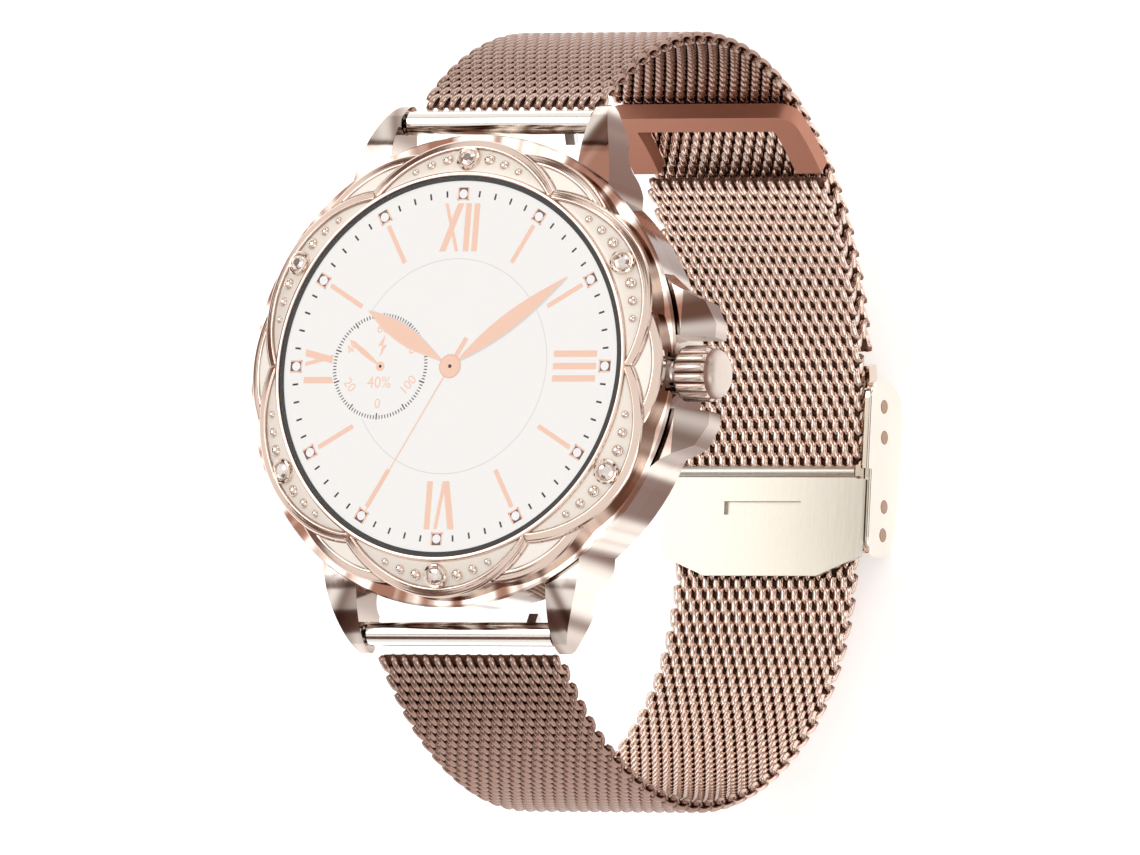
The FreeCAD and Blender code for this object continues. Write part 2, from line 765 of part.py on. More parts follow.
# ---- mesh bracelet ----
def cut_at_tube(strip, side):
    reach = strap_width + 4
    tool = cyl(end_tube_radius + seat / 2, reach, V(-reach / 2, side * bar_y, bar_z), X_AXIS)
    return max(strip.cut(tool).Solids, key=lambda s: s.Volume)


def upper_mesh():
    strip = band(upper_arc, hook_end_angle, arc_angle(upper_arc, (bar_y, bar_z)), mesh_thickness, strap_width)
    return cut_at_tube(strip, 1)


def lower_mesh():
    side = band(lower_arc, arc_angle(lower_arc, (-bar_y, bar_z)), bend_end, mesh_thickness, strap_width)
    bend = band(bend_arc, bend_end, clasp_tilt, mesh_thickness, strap_width)
    straight = in_clasp(clasp_box(strap_half, (lower_run_out, upper_run_in), (-half_mesh, half_mesh)))
    tail = band(tail_arc, clasp_tilt, tail_end_angle, mesh_thickness, strap_width)
    return cut_at_tube(fuse([side, bend, straight, tail]), -1)


def tail_loop():
    """Flat U-shaped frame on the end of the lower strap: two legs and a cross bar."""
    start = tail_end_angle
    end = start + tail_loop_arc
    plate = band(tail_arc, start, end, tail_loop_thickness, strap_width + 0.4)
    bar_angle = math.degrees(tail_bar_width / tail_arc[2])
    inner = strap_width + 0.4 - 2 * tail_leg_width
    window = band(tail_arc, start - 1, end - bar_angle, tail_loop_thickness + 2, inner)
    loop = plate.cut(window)
    corner = on_arc(tail_arc, tail_arc[2], end)
    return round_edges(loop, 1.6, lambda p, e: (p - V(p.x, corner.y, corner.z)).Length < 0.4
                       and abs(abs(p.x) - strap_half - 0.2) < 0.1 and e.Length < tail_loop_thickness + 0.2)


keep("upper_mesh", upper_mesh())
keep("lower_mesh", lower_mesh())
keep("tail_loop", tail_loop())


# ---- clasp ----
base_inner = strap_half + gap + 0.05
base_outer = base_inner + base_wall
floor_top = -half_mesh - wide_gap
floor_low = floor_top - base_floor
lock_low = half_mesh + 0.25
lock_hinge = (lock_hinge_u, lock_low + 0.4)
ear_end = 1.2
ear_top = 0.42


def clasp_base():
    left = clasp_left + 0.5
    right = clasp_right - 0.7
    floor = clasp_box(base_outer, (left, right), (floor_low, floor_top))
    walls = clasp_box(base_outer, (left, lock_right + ear_end), (floor_low, lock_low - 0.05))
    ear_span = (lock_right + wide_gap, lock_right + ear_end)
    ears = clasp_box(base_outer, ear_span, (floor_low, lock_hinge[1] + ear_top))
    feet = clasp_box(base_outer, (cover_hinge[0] - 0.9, crossbar[0] + 1.0), (crossbar[1] - 0.9, floor_low))
    shell = fuse([floor, walls, ears, feet])
    inside = clasp_box(base_inner, (left - 1, right + 1), (floor_top, 4))
    below = clasp_box(base_inner, (left - 1, right + 1), (crossbar[1] - 2, floor_low))
    reach = base_outer + 1
    tools = [inside, below, across(cover_pin_radius + running, reach, *cover_hinge)]
    tools += [across(crossbar_radius + seat, reach, *crossbar)]
    tools += [across(lock_pin_radius + seat, reach, *lock_hinge)]
    return cut(shell, tools)


def lock_plate():
    """Plate on the wrist side that clamps the mesh; its far end is cut to a blunt point."""
    corners = [
        (-lock_half_width, lock_right),
        (lock_half_width, lock_right),
        (lock_half_width, lock_shoulder),
        (lock_tip_half_width, lock_left),
        (-lock_tip_half_width, lock_left),
        (-lock_half_width, lock_shoulder),
    ]
    points = [V(x, u, lock_low) for x, u in corners]
    plate = Part.Face(Part.makePolygon(points + points[:1])).extrude(V(0, 0, lock_thickness))
    knuckle = across(lock_knuckle, base_inner - gap, *lock_hinge)
    web = clasp_box(base_inner - gap, (lock_right - 0.5, lock_hinge_u), (lock_low, lock_low + lock_thickness))
    slot_half = lock_slot[0] / 2
    low_u = lock_slot_u - lock_slot[1] / 2
    slot = clasp_box(slot_half, (low_u, low_u + lock_slot[1]), (0, 4))
    bore = across(lock_pin_radius + running, lock_half_width, *lock_hinge)
    return cut(fuse([plate, knuckle, web]), [slot, bore])


def rest_n(u):
    """Height above the clasp line of the flat that the clasp stands on."""
    t = math.radians(clasp_tilt)
    return (rest_height - strap_bottom - u * math.sin(t)) / math.cos(t)


def clasp_cover():
    """Fold-over cover: two pill-shaped cheeks joined by a floor with a flat outer face."""
    step_u = lock_right + 0.95
    outline = [
        (clasp_left, rest_n(clasp_left)),
        (clasp_right, rest_n(clasp_right)),
        (clasp_right, half_mesh * 2),
        (step_u, half_mesh * 2),
        (step_u, lock_low - 0.15),
        (clasp_left, lock_low - 0.15),
    ]
    solid = prism_x(outline, -clasp_half_width, clasp_half_width)
    radii = {0: 3.2, 1: 3.2, 2: 1.6, 5: 1.7}
    for index, radius in radii.items():
        corner = outline[index]
        solid = round_edges(solid, radius, lambda p, e: abs(p.y - corner[0]) < seat
                            and abs(p.z - corner[1]) < seat and e.Length > clasp_half_width)
    inner = clasp_half_width - clasp_wall
    floor_start = cover_hinge[0] - 0.6
    cavity = clasp_box(inner, (clasp_left - 1, clasp_right + 1), (cover_floor_n, 4))
    back_opening = clasp_box(inner, (clasp_left - 1, floor_start), (rest_n(0) - 3, 4))
    tools = [cavity, back_opening, across(cover_pin_radius + seat, clasp_half_width + 1, *cover_hinge)]
    tools += [across(cover_pin_radius + seat, clasp_half_width + 1, u, n) for u, n in cover_rivets]
    rounded = cut(solid, tools)
    edges = [e for e in rounded.Edges if abs(abs(e.CenterOfMass.x) - clasp_half_width) < seat
             and e.Length > 1.5 and e.CenterOfMass.z < cover_hinge[1] - 1.0]
    return rounded.makeFillet(0.25, edges)


def rivets():
    """Short studs flush in both cheeks of the cover."""
    solids = []
    for u, n in cover_rivets:
        for side in SIDES:
            base = V(side * (clasp_half_width - clasp_wall), u, n)
            solids.append(in_clasp(cyl(cover_pin_radius, clasp_wall + 0.04, base, X_AXIS * side)))
    return solids


def hook_end():
    """Crimp on the upper mesh's end with a hook plate that runs under the crossbar."""
    top = crossbar[1] - crossbar_radius - gap / 2
    plate = in_clasp(clasp_box(hook_half_width, (crossbar[0] - 1.2, hook_root_u), (top - hook_plate, top)))
    riser_low = crossbar[0] + crossbar_radius + 1.6
    riser_span = (top - hook_plate, floor_low - 0.15)
    riser = in_clasp(clasp_box(hook_half_width, (riser_low, hook_root_u), riser_span))
    crimp = band(upper_arc, hook_end_angle - crimp_arc, hook_end_angle, mesh_thickness, strap_width - gap)
    return fuse([plate, riser, crimp])


keep("clasp_base", in_clasp(clasp_base()))
keep("lock_plate", in_clasp(lock_plate()))
keep("lock_hinge_pin", in_clasp(across(lock_pin_radius, base_outer, *lock_hinge)))
keep("clasp_cover", in_clasp(clasp_cover()))
keep("cover_hinge_pin", in_clasp(across(cover_pin_radius, clasp_half_width + 0.04, *cover_hinge)))
keep("cover_rivets", *rivets())
keep("clasp_crossbar", in_clasp(across(crossbar_radius, base_outer, *crossbar)))
keep("hook_end", hook_end())

os.makedirs("parts", exist_ok=True)
for name, shape in shapes.items():
    shape.exportStep("parts/" + name + ".step")
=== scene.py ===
import json
import math
import bpy
import numpy as np
from mathutils import Matrix, Vector


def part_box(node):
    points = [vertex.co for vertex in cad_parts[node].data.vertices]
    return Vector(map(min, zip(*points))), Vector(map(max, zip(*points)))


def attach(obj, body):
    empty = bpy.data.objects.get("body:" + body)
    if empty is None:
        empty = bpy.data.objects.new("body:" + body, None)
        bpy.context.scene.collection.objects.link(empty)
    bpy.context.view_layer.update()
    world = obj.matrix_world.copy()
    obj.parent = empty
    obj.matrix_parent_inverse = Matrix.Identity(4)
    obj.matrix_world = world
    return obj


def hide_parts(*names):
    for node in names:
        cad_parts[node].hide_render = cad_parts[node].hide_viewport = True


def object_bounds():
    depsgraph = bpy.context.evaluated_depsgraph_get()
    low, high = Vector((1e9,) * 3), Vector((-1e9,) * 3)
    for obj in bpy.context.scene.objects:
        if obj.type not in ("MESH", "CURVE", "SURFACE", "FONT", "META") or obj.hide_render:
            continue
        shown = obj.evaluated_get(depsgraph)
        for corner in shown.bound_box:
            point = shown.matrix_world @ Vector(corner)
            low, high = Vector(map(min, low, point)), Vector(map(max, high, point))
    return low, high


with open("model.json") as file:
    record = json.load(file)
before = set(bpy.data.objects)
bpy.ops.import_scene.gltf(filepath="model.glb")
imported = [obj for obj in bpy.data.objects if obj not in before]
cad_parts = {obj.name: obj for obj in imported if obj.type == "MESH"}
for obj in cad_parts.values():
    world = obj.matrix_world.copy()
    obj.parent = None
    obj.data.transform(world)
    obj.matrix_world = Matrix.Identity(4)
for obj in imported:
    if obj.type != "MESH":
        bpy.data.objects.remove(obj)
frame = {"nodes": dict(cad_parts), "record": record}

# A smartwatch on a woven mesh bracelet.  Lengths below are in millimetres and are turned into
# metres when a mesh is made.  The dial faces +Z, 12 o'clock is +Y, the crown is at +X.

MM = 0.001
CAD_BOX = [list(corner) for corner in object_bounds()]

# ---- sizes shared with the solids ----
BAR_Y = 22.4
BAR_Z = 5.2
STRAP_WIDTH = 18.2
LAYER_STEP = 1.7
CLASP_LINE_Z = -49.4
CLASP_TILT = 4.0
LOWER_RUN_OUT = -6.5
UPPER_RUN_IN = 4.0
BEND_RADIUS = 21.5
BEND_END = -45.0
HOOK_END_ANGLE = 15.6
TAIL_END_ANGLE = 53.0
FLANGE_TOP = 9.3
DIAL_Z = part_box("display_panel")[1][2] / MM
CROWN_AXIS_Z = 7.3
CROWN_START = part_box("crown")[0][0] / MM
CROWN_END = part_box("crown")[1][0] / MM
CAP_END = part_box("crown_cap")[1][0] / MM
CROWN_RADIUS = 2.45
CAP_RADIUS = 2.2
STONE_ORBIT = 18.2
STONE_RADIUS = 0.95
FLOOR_Z = CAD_BOX[0][2]


# =====================================================================================
# Meshes
# =====================================================================================
def link(name, vertices, faces, body, material, smooth_angle=35.0):
    """Make an object from vertices in mm and rows of vertex numbers, and let it ride on a body."""
    mesh = bpy.data.meshes.new(name)
    vertices = np.asarray(vertices, dtype=np.float64).reshape(-1, 3) * MM
    faces = np.asarray(faces, dtype=np.int32)
    mesh.vertices.add(len(vertices))
    mesh.vertices.foreach_set("co", vertices.ravel())
    mesh.loops.add(faces.size)
    mesh.loops.foreach_set("vertex_index", faces.ravel())
    mesh.polygons.add(len(faces))
    mesh.polygons.foreach_set("loop_start", np.arange(len(faces), dtype=np.int32) * faces.shape[1])
    mesh.update(calc_edges=True)
    mesh.validate()
    mesh.shade_smooth()
    if smooth_angle:
        mesh.set_sharp_from_angle(angle=math.radians(smooth_angle))
    piece = bpy.data.objects.new(name, mesh)
    bpy.context.scene.collection.objects.link(piece)
    mesh.materials.append(material)
    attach(piece, body)
    return piece


def store(piece, name, values):
    """A number per vertex for the material to read."""
    layer = piece.data.attributes.new(name, "FLOAT", "POINT")
    layer.data.foreach_set("value", np.ascontiguousarray(values, dtype=np.float32).ravel())


def grid_faces(rows, columns, wrap_rows=False, wrap_columns=False):
    """Quads of a rows x columns grid of vertices, numbered row by row."""
    row = np.arange(rows if wrap_rows else rows - 1)
    column = np.arange(columns if wrap_columns else columns - 1)
    i, j = np.meshgrid(row, column, indexing="ij")
    next_i = (i + 1) % rows
    next_j = (j + 1) % columns
    near, far = i * columns, next_i * columns
    return np.stack([near + j, near + next_j, far + next_j, far + j], -1).reshape(-1, 4)


def repeat_faces(faces, count, stride):
    """The same faces for each of count copies whose vertices follow one another."""
    shift = np.arange(count)[:, None, None] * stride
    return (faces[None] + shift).reshape(-1, faces.shape[1])


def lathe(profile, turns=96, axis="z"):
    """Grid of points: each (radius, height) of a profile swept round an axis."""
    profile = np.asarray(profile, dtype=float)
    angle = np.linspace(0, 2 * np.pi, turns, endpoint=False)
    radius = profile[:, 0][:, None]
    across = radius * np.cos(angle)
    along = radius * np.sin(angle)
    height = np.broadcast_to(profile[:, 1][:, None], across.shape)
    if axis == "x":
        return np.stack([height, across, along], -1)
    return np.stack([across, along, height], -1)


TIP_SHARE = 0.05


def tubes(centres, radius, sides, reference, wide=1.0):
    """Round wires along many centre lines at once.

    centres is (wires, points, 3).  At each point the wire's circle is spanned by the unit vectors
    n1 = tangent x reference and n2 = tangent x n1, n2 times wide.  The ends close almost to a point.
    """
    centres = np.concatenate([centres[:, :1], centres, centres[:, -1:]], 1)
    tangent = np.gradient(centres, axis=1)
    tangent[:, 0] = tangent[:, 1]
    tangent[:, -1] = tangent[:, -2]
    tangent /= np.linalg.norm(tangent, axis=-1, keepdims=True)
    first = np.cross(tangent, reference)
    first /= np.linalg.norm(first, axis=-1, keepdims=True)
    second = np.cross(tangent, first) * wide
    angle = np.linspace(0, 2 * np.pi, sides, endpoint=False)
    width = np.full(centres.shape[1], radius)
    width[[0, -1]] = radius * TIP_SHARE
    circle = np.cos(angle)[:, None] * first[:, :, None, :] + np.sin(angle)[:, None] * second[:, :, None, :]
    points = centres[:, :, None, :] + circle * width[None, :, None, None]
    one = grid_faces(centres.shape[1], sides, wrap_columns=True)
    return points.reshape(-1, 3), repeat_faces(one, len(centres), centres.shape[1] * sides)


# =====================================================================================
# Materials
# =====================================================================================
class Value:
    """A number socket of one material's tree, so that shader maths can be written as sums."""

    def __init__(self, tree, socket):
        self.tree = tree
        self.socket = socket

    def _combine(self, operation, first, second):
        node = self.tree.nodes.new("ShaderNodeMath")
        node.operation = operation
        for slot_index, item in enumerate((first, second)):
            if isinstance(item, Value):
                self.tree.links.new(item.socket, node.inputs[slot_index])
            else:
                node.inputs[slot_index].default_value = item
        return Value(self.tree, node.outputs[0])

    def __add__(self, other):
        return self._combine("ADD", self, other)

    def __sub__(self, other):
        return self._combine("SUBTRACT", self, other)

    def __rsub__(self, other):
        return self._combine("SUBTRACT", other, self)

    def __mul__(self, other):
        return self._combine("MULTIPLY", self, other)

    __radd__ = __add__
    __rmul__ = __mul__

    def over(self, edge):
        """1 where the value is more than an edge, else 0."""
        return self._combine("GREATER_THAN", self, edge)


class Material:
    """One node material round a Principled shader."""

    def __init__(self, name, **constants):
        self.material = bpy.data.materials.new(name)
        self.material.use_nodes = True
        self.tree = self.material.node_tree
        self.shader = self.tree.nodes["Principled BSDF"]
        for key, value in constants.items():
            self.shader.inputs[key.replace("_", " ")].default_value = value
        coordinates = self.tree.nodes.new("ShaderNodeTexCoord")
        self.place = coordinates.outputs["Object"]

    def node(self, kind, settings=(), **inputs):
        made = self.tree.nodes.new(kind)
        for key, value in dict(settings).items():
            setattr(made, key, value)
        for key, value in inputs.items():
            socket = made.inputs[key.replace("_", " ")]
            if isinstance(value, Value):
                self.tree.links.new(value.socket, socket)
            elif isinstance(value, bpy.types.NodeSocket):
                self.tree.links.new(value, socket)
            else:
                socket.default_value = value
        return made

    def stretched(self, scale):
        """Object coordinates in mm, stretched along each axis."""
        mapping = self.node("ShaderNodeMapping", Vector=self.place, Scale=[s / MM for s in scale])
        return mapping.outputs[0]

    def noise(self, scale, detail=3.0, roughness=0.55):
        made = self.node("ShaderNodeTexNoise", Vector=self.stretched(scale), Scale=1.0, Detail=detail,
                         Roughness=roughness)
        return Value(self.tree, made.outputs[0])

    def radial_noise(self, scale):
        """Noise of the direction from the dial's axis alone."""
        level = self.node("ShaderNodeVectorMath", {"operation": "MULTIPLY"})
        self.tree.links.new(self.place, level.inputs[0])
        level.inputs[1].default_value = (1 / MM, 1 / MM, 0)
        unit = self.node("ShaderNodeVectorMath", {"operation": "NORMALIZE"})
        self.tree.links.new(level.outputs[0], unit.inputs[0])
        made = self.node("ShaderNodeTexNoise", Vector=unit.outputs[0], Scale=scale, Detail=2.0, Roughness=0.6)
        return Value(self.tree, made.outputs[0])

    def blend(self, factor, low, high):
        """Colour between low and high, each a fixed colour or a colour socket."""
        made = self.node("ShaderNodeMix", {"data_type": "RGBA"})
        self.tree.links.new(factor.socket, made.inputs[0])
        for slot_index, colour in ((6, low), (7, high)):
            if isinstance(colour, bpy.types.NodeSocket):
                self.tree.links.new(colour, made.inputs[slot_index])
            else:
                made.inputs[slot_index].default_value = (*colour, 1)
        return made.outputs[2]

    def ramp(self, value, low, high):
        """0 to 1 as a value goes from low to high, eased at both ends."""
        made = self.node("ShaderNodeMapRange", {"interpolation_type": "SMOOTHSTEP"}, Value=value)
        made.inputs["From Min"].default_value = low
        made.inputs["From Max"].default_value = high
        return Value(self.tree, made.outputs[0])

    def attribute(self, name):
        made = self.node("ShaderNodeAttribute", {"attribute_name": name})
        return Value(self.tree, made.outputs["Fac"])

    def feed(self, name, source):
        socket = source.socket if isinstance(source, Value) else source
        self.tree.links.new(socket, self.shader.inputs[name])

    def bump(self, height, distance, strength=1.0):
        made = self.node("ShaderNodeBump", Height=height, Distance=distance * MM, Strength=strength)
        self.feed("Normal", made.outputs[0])


ROSE = (0.80, 0.68, 0.595)
# The dark of the painted reflection stripes on the case.
PAINTED_REFLECTION_DARK = (0.15, 0.072, 0.05)
PALE_ROSE = (0.68, 0.64, 0.57)
WIRE_ROSE = (0.81, 0.635, 0.55)
# Painted shade of the wire towards both lugs.
WIRE_SHADE = (0.20, 0.10, 0.07)
# Painted shade of the wire between its layers.
WIRE_GAP_SHADE = (0.24, 0.13, 0.095)
STEEL = (0.70, 0.70, 0.71)
GOLD = (0.90, 0.66, 0.33)


def tint(colour, share):
    return tuple(min(1.0, c * share) for c in colour)


def polished(name, colour, roughness=0.09, wear=0.05, bands=None):
    """Plated and polished metal: faint cloudy wear and fine hair scratches.

    bands is how finely painted reflection stripes, soft light and dark, which run outwards and down, follow
    the angle.
    """
    m = Material(name, Metallic=1.0)
    cloud = m.noise((0.25, 0.25, 0.25))
    hair = m.noise((7.0, 0.6, 2.0), detail=2.0)
    shade = m.blend(cloud, tint(colour, 0.96), tint(colour, 1.04))
    if bands:
        # Painted reflection: dark stripes that follow the angle round the dial's axis.
        stripe = m.ramp(m.radial_noise(bands), 0.41, 0.62)
        shade = m.blend(stripe, PAINTED_REFLECTION_DARK, shade)
    m.feed("Base Color", shade)
    m.feed("Roughness", roughness + (cloud - 0.5) * wear + (hair - 0.5) * wear)
    m.bump(hair, 0.0006, 0.4)
    return m.material


def woven(name):
    """Polished wire with painted shade: darker towards both lugs, and brown where 'open' is low, between the
    wire layers.
    """
    m = Material(name, Metallic=1.0)
    cloud = m.noise((0.25, 0.25, 0.25))
    parts = m.node("ShaderNodeSeparateXYZ", Vector=m.place)
    y = Value(m.tree, parts.outputs["Y"])
    # Painted shade: the wire darkens towards both lugs, above a height and past a distance along the strap.
    front = m.ramp(Value(m.tree, parts.outputs["Z"]), -0.040, -0.022)
    lower_end = m.ramp(0.0 - y, 0.017, 0.028) * front * 0.85
    upper_end = m.ramp(y, 0.020, 0.028) * front * 0.8
    shade = m.blend(cloud, tint(WIRE_ROSE, 1.10), tint(WIRE_ROSE, 1.22))
    deep = m.blend(1.0 - (lower_end + upper_end), WIRE_SHADE, shade)
    # Painted shade between the wire layers: brown where 'open' is low.
    m.feed("Base Color", m.blend(m.attribute("open"), WIRE_GAP_SHADE, deep))
    m.feed("Roughness", 0.10 + cloud * 0.12)
    m.bump(m.noise((3.0, 3.0, 3.0)), 0.001, 0.4)
    return m.material


def brushed(name, colour, along=(9.0, 0.12, 9.0), roughness=0.3):
    """Metal with long straight brush lines."""
    m = Material(name, Metallic=1.0)
    lines = m.noise(along, detail=5.0, roughness=0.7)
    fine = m.noise(tuple(3.1 * s for s in along), detail=3.0)
    streak = lines * 0.7 + fine * 0.3
    m.feed("Base Color", m.blend(streak, tint(colour, 0.66), tint(colour, 1.24)))
    m.feed("Roughness", roughness + (streak - 0.5) * 0.25)
    m.bump(streak, 0.004, 0.5)
    return m.material


def moulded(name, colour, roughness=0.5, grain=6.0, depth=0.004, **constants):
    """Moulded plastic or rubber with a fine spark-eroded grain."""
    m = Material(name, **constants)
    cloud = m.noise((0.4, 0.4, 0.4))
    pores = m.noise((grain, grain, grain), detail=2.0)
    m.feed("Base Color", m.blend(cloud, tint(colour, 0.85), tint(colour, 1.15)))
    m.feed("Roughness", roughness + (pores - 0.5) * 0.2)
    m.bump(pores, depth, 0.6)
    return m.material


def board(name):
    """Circuit board: solder mask over copper traces, with plated vias."""
    m = Material(name, Roughness=0.38)
    traces = m.node("ShaderNodeTexBrick", Vector=m.stretched((0.9, 0.9, 0.9)), Scale=1.0, Mortar_Size=0.12,
                    Brick_Width=1.9, Row_Height=0.45)
    line = Value(m.tree, traces.outputs["Fac"])
    vias = m.node("ShaderNodeTexVoronoi", Vector=m.stretched((0.8, 0.8, 0.8)), Scale=1.0, Randomness=0.7)
    dot = 1.0 - Value(m.tree, vias.outputs["Distance"]).over(0.16)
    mask = m.blend(line, (0.02, 0.16, 0.08), (0.04, 0.30, 0.14))
    m.feed("Base Color", m.blend(dot, mask, (0.85, 0.62, 0.28)))
    m.feed("Metallic", dot)
    m.bump(line * 0.6 + dot * 0.4, 0.03, 0.6)
    return m.material


def screen(name):
    """The white dial as the lit panel shows it, with a fine grain."""
    m = Material(name, Roughness=0.5, Emission_Strength=0.19)
    grain = m.noise((12.0, 12.0, 12.0), detail=1.0)
    white = m.blend(grain, (0.80, 0.795, 0.785), (0.83, 0.825, 0.815))
    m.feed("Base Color", white)
    m.feed("Emission Color", white)
    return m.material


def printed(name, colour, glow=0.2, roughness=0.4, lift=0.05):
    """A flat shape drawn by the panel: even colour with the panel's fine dot structure."""
    m = Material(name, Roughness=roughness, Emission_Strength=glow)
    dots = m.noise((14.0, 14.0, 14.0), detail=1.0)
    shade = m.blend(dots, tint(colour, 1.0 - lift), tint(colour, 1.0 + lift))
    m.feed("Base Color", shade)
    m.feed("Emission Color", shade)
    return m.material


def clear_glass(name, alpha, colour=(0.02, 0.02, 0.02), roughness=0.02):
    """Thin clear glass with a faint smear."""
    m = Material(name, IOR=1.5, Coat_Weight=0.0)
    smear = m.noise((0.12, 0.12, 0.12))
    m.feed("Base Color", m.blend(smear, tint(colour, 0.99), colour))
    m.feed("Roughness", roughness + smear * 0.02)
    m.feed("Alpha", alpha + (smear - 0.5) * 0.01)
    return m.material


def gem(name):
    """Bright cut stone: hard mirror facets with a pale rose body."""
    m = Material(name, Metallic=0.75, Roughness=0.04, IOR=2.2)
    spark = m.noise((1.6, 1.6, 1.6), detail=1.0)
    m.feed("Base Color", m.blend(spark, (0.62, 0.47, 0.40), (1.0, 0.97, 0.95)))
    return m.material


def foil(name):
    """Battery pouch: crinkled silver-grey foil."""
    m = Material(name, Metallic=0.85)
    crinkle = m.noise((0.9, 0.9, 0.9), detail=5.0, roughness=0.65)
    m.feed("Base Color", m.blend(crinkle, (0.42, 0.43, 0.45), (0.68, 0.69, 0.72)))
    m.feed("Roughness", 0.28 + crinkle * 0.2)
    m.bump(crinkle, 0.06, 0.7)
    return m.material


def engraved(name):
    """Bezel and crown: rose plate, cream enamel where 'cream' says, and dark brown where 'line' says: painted
    shade in the bezel's grooves and the crown's flutes, and a darker rim on the crown cap.
    """
    m = Material(name, Metallic=1.0)
    cloud = m.noise((0.3, 0.3, 0.3))
    plate = m.blend(cloud, (0.80, 0.63, 0.54), (0.90, 0.72, 0.62))
    cream = m.attribute("cream")
    enamel = m.blend(cream, (0.0, 0.0, 0.0), (1.0, 0.94, 0.86))
    field = m.blend(cream, plate, enamel)
    # Painted shade: dark brown where 'line' says.
    m.feed("Base Color", m.blend(1.0 - m.attribute("line"), (0.20, 0.09, 0.06), field))
    m.feed("Metallic", 1.0 - cream * 0.8)
    m.feed("Roughness", 0.12 + cream * 0.25 + cloud * 0.06)
    m.bump(m.noise((5.0, 5.0, 5.0), detail=2.0), 0.001, 0.5)
    return m.material


rose = polished("polished_rose", ROSE)
# The case's copy of the rose plate: lighter, with painted reflection stripes.
rose_painted_reflections = polished("polished_rose_case_painted_reflections", (0.93, 0.84, 0.765), bands=4.6)
# A near-white copy of the rose plate for the end tubes: painted highlight.
rose_tube_painted_highlight = polished("polished_rose_tube", (0.95, 0.90, 0.84))
# A dark brown, rougher copy of the rose plate for the tail loop: painted shade.
rose_frame_painted_shade = polished("polished_rose_frame", (0.52, 0.25, 0.175), roughness=0.6)
rose_dark = polished("polished_rose_studs", (0.42, 0.28, 0.215))
rose_soft = woven("polished_rose_wire_painted_shade")
# A dark sheet of painted shade inside the woven mesh.
weave_core = moulded("shaded_weave_painted_shade_sheet", (0.17, 0.09, 0.065), roughness=0.6, Metallic=0.6)
slots = {
    "rose_steel": rose,
    "rose_brushed": brushed("brushed_rose", PALE_ROSE, along=(2.6, 0.04, 2.6), roughness=0.34),
    "mesh_steel": rose_soft,
    "stone": gem("cut_stone"),
    "cover_glass": clear_glass("cover_glass", 0.06),
    "screen": screen("white_dial"),
    "tray": brushed("pressed_tray", (0.62, 0.63, 0.65)),
    "seal_black": moulded("black_seal", (0.03, 0.03, 0.032), roughness=0.6),
    "carrier_black": moulded("black_carrier", (0.045, 0.045, 0.05), grain=3.0, depth=0.01),
    "sensor_black": moulded("tinted_window", (0.015, 0.014, 0.018), roughness=0.06, grain=0.3, depth=0.001),
    "led": moulded("sensor_lenses", (0.62, 0.80, 0.60), roughness=0.15, grain=2.0),
    "board_green": board("circuit_board"),
    "chip_black": moulded("chip_package", (0.02, 0.02, 0.021), roughness=0.42, grain=9.0),
    "cell_grey": foil("battery_foil"),
    "motor_steel": brushed("drawn_can", (0.66, 0.66, 0.66), along=(0.5, 0.5, 8.0), roughness=0.28),
    "gold_contact": polished("gold_contact", GOLD, roughness=0.2),
    "spring_steel": polished("spring_wire", (0.60, 0.60, 0.62), roughness=0.25),
    "bright_steel": polished("bright_steel", STEEL, roughness=0.16),
}

OWN_FINISH = {"mid_case": rose_painted_reflections, "tail_loop": rose_frame_painted_shade, "upper_end_tube": rose_tube_painted_highlight,
              "lower_end_tube": rose_tube_painted_highlight,
              "clasp_cover": polished("polished_rose_clasp", (0.92, 0.855, 0.78)),
              "cover_rivets": rose_dark, "cover_hinge_pin": rose_dark}
for subpart in frame["record"]["subparts"]:
    item = frame["nodes"][subpart["node"]]
    item.data.materials.clear()
    item.data.materials.append(OWN_FINISH.get(subpart["node"], slots[subpart["material_slot"]]))


# =====================================================================================
# Woven bracelet
# =====================================================================================
def clasp_point(u, n):
    """(y, z) of a point u along and n above the clasp's tilted line."""
    t = math.radians(CLASP_TILT)
    return np.array([u * math.cos(t) - n * math.sin(t), CLASP_LINE_Z + u * math.sin(t) + n * math.cos(t)])


def towards(degrees):
    """Unit (y, z) at an angle from straight down."""
    a = np.radians(degrees)
    return np.stack([np.sin(a), -np.cos(a)], -1)


def angle_of(centre, point):
    """Angle of a point from straight down, seen from a centre."""
    return math.degrees(math.atan2(point[0] - centre[0], centre[1] - point[1]))


def arc_points(centre, radius, start, end, step=0.25):
    """Points and slopes in degrees along an arc, about a step apart."""
    count = max(2, int(abs(math.radians(end - start)) * radius / step))
    degrees = np.linspace(start, end, count)
    return centre + radius * towards(degrees), degrees


RUN_POINTS = 40


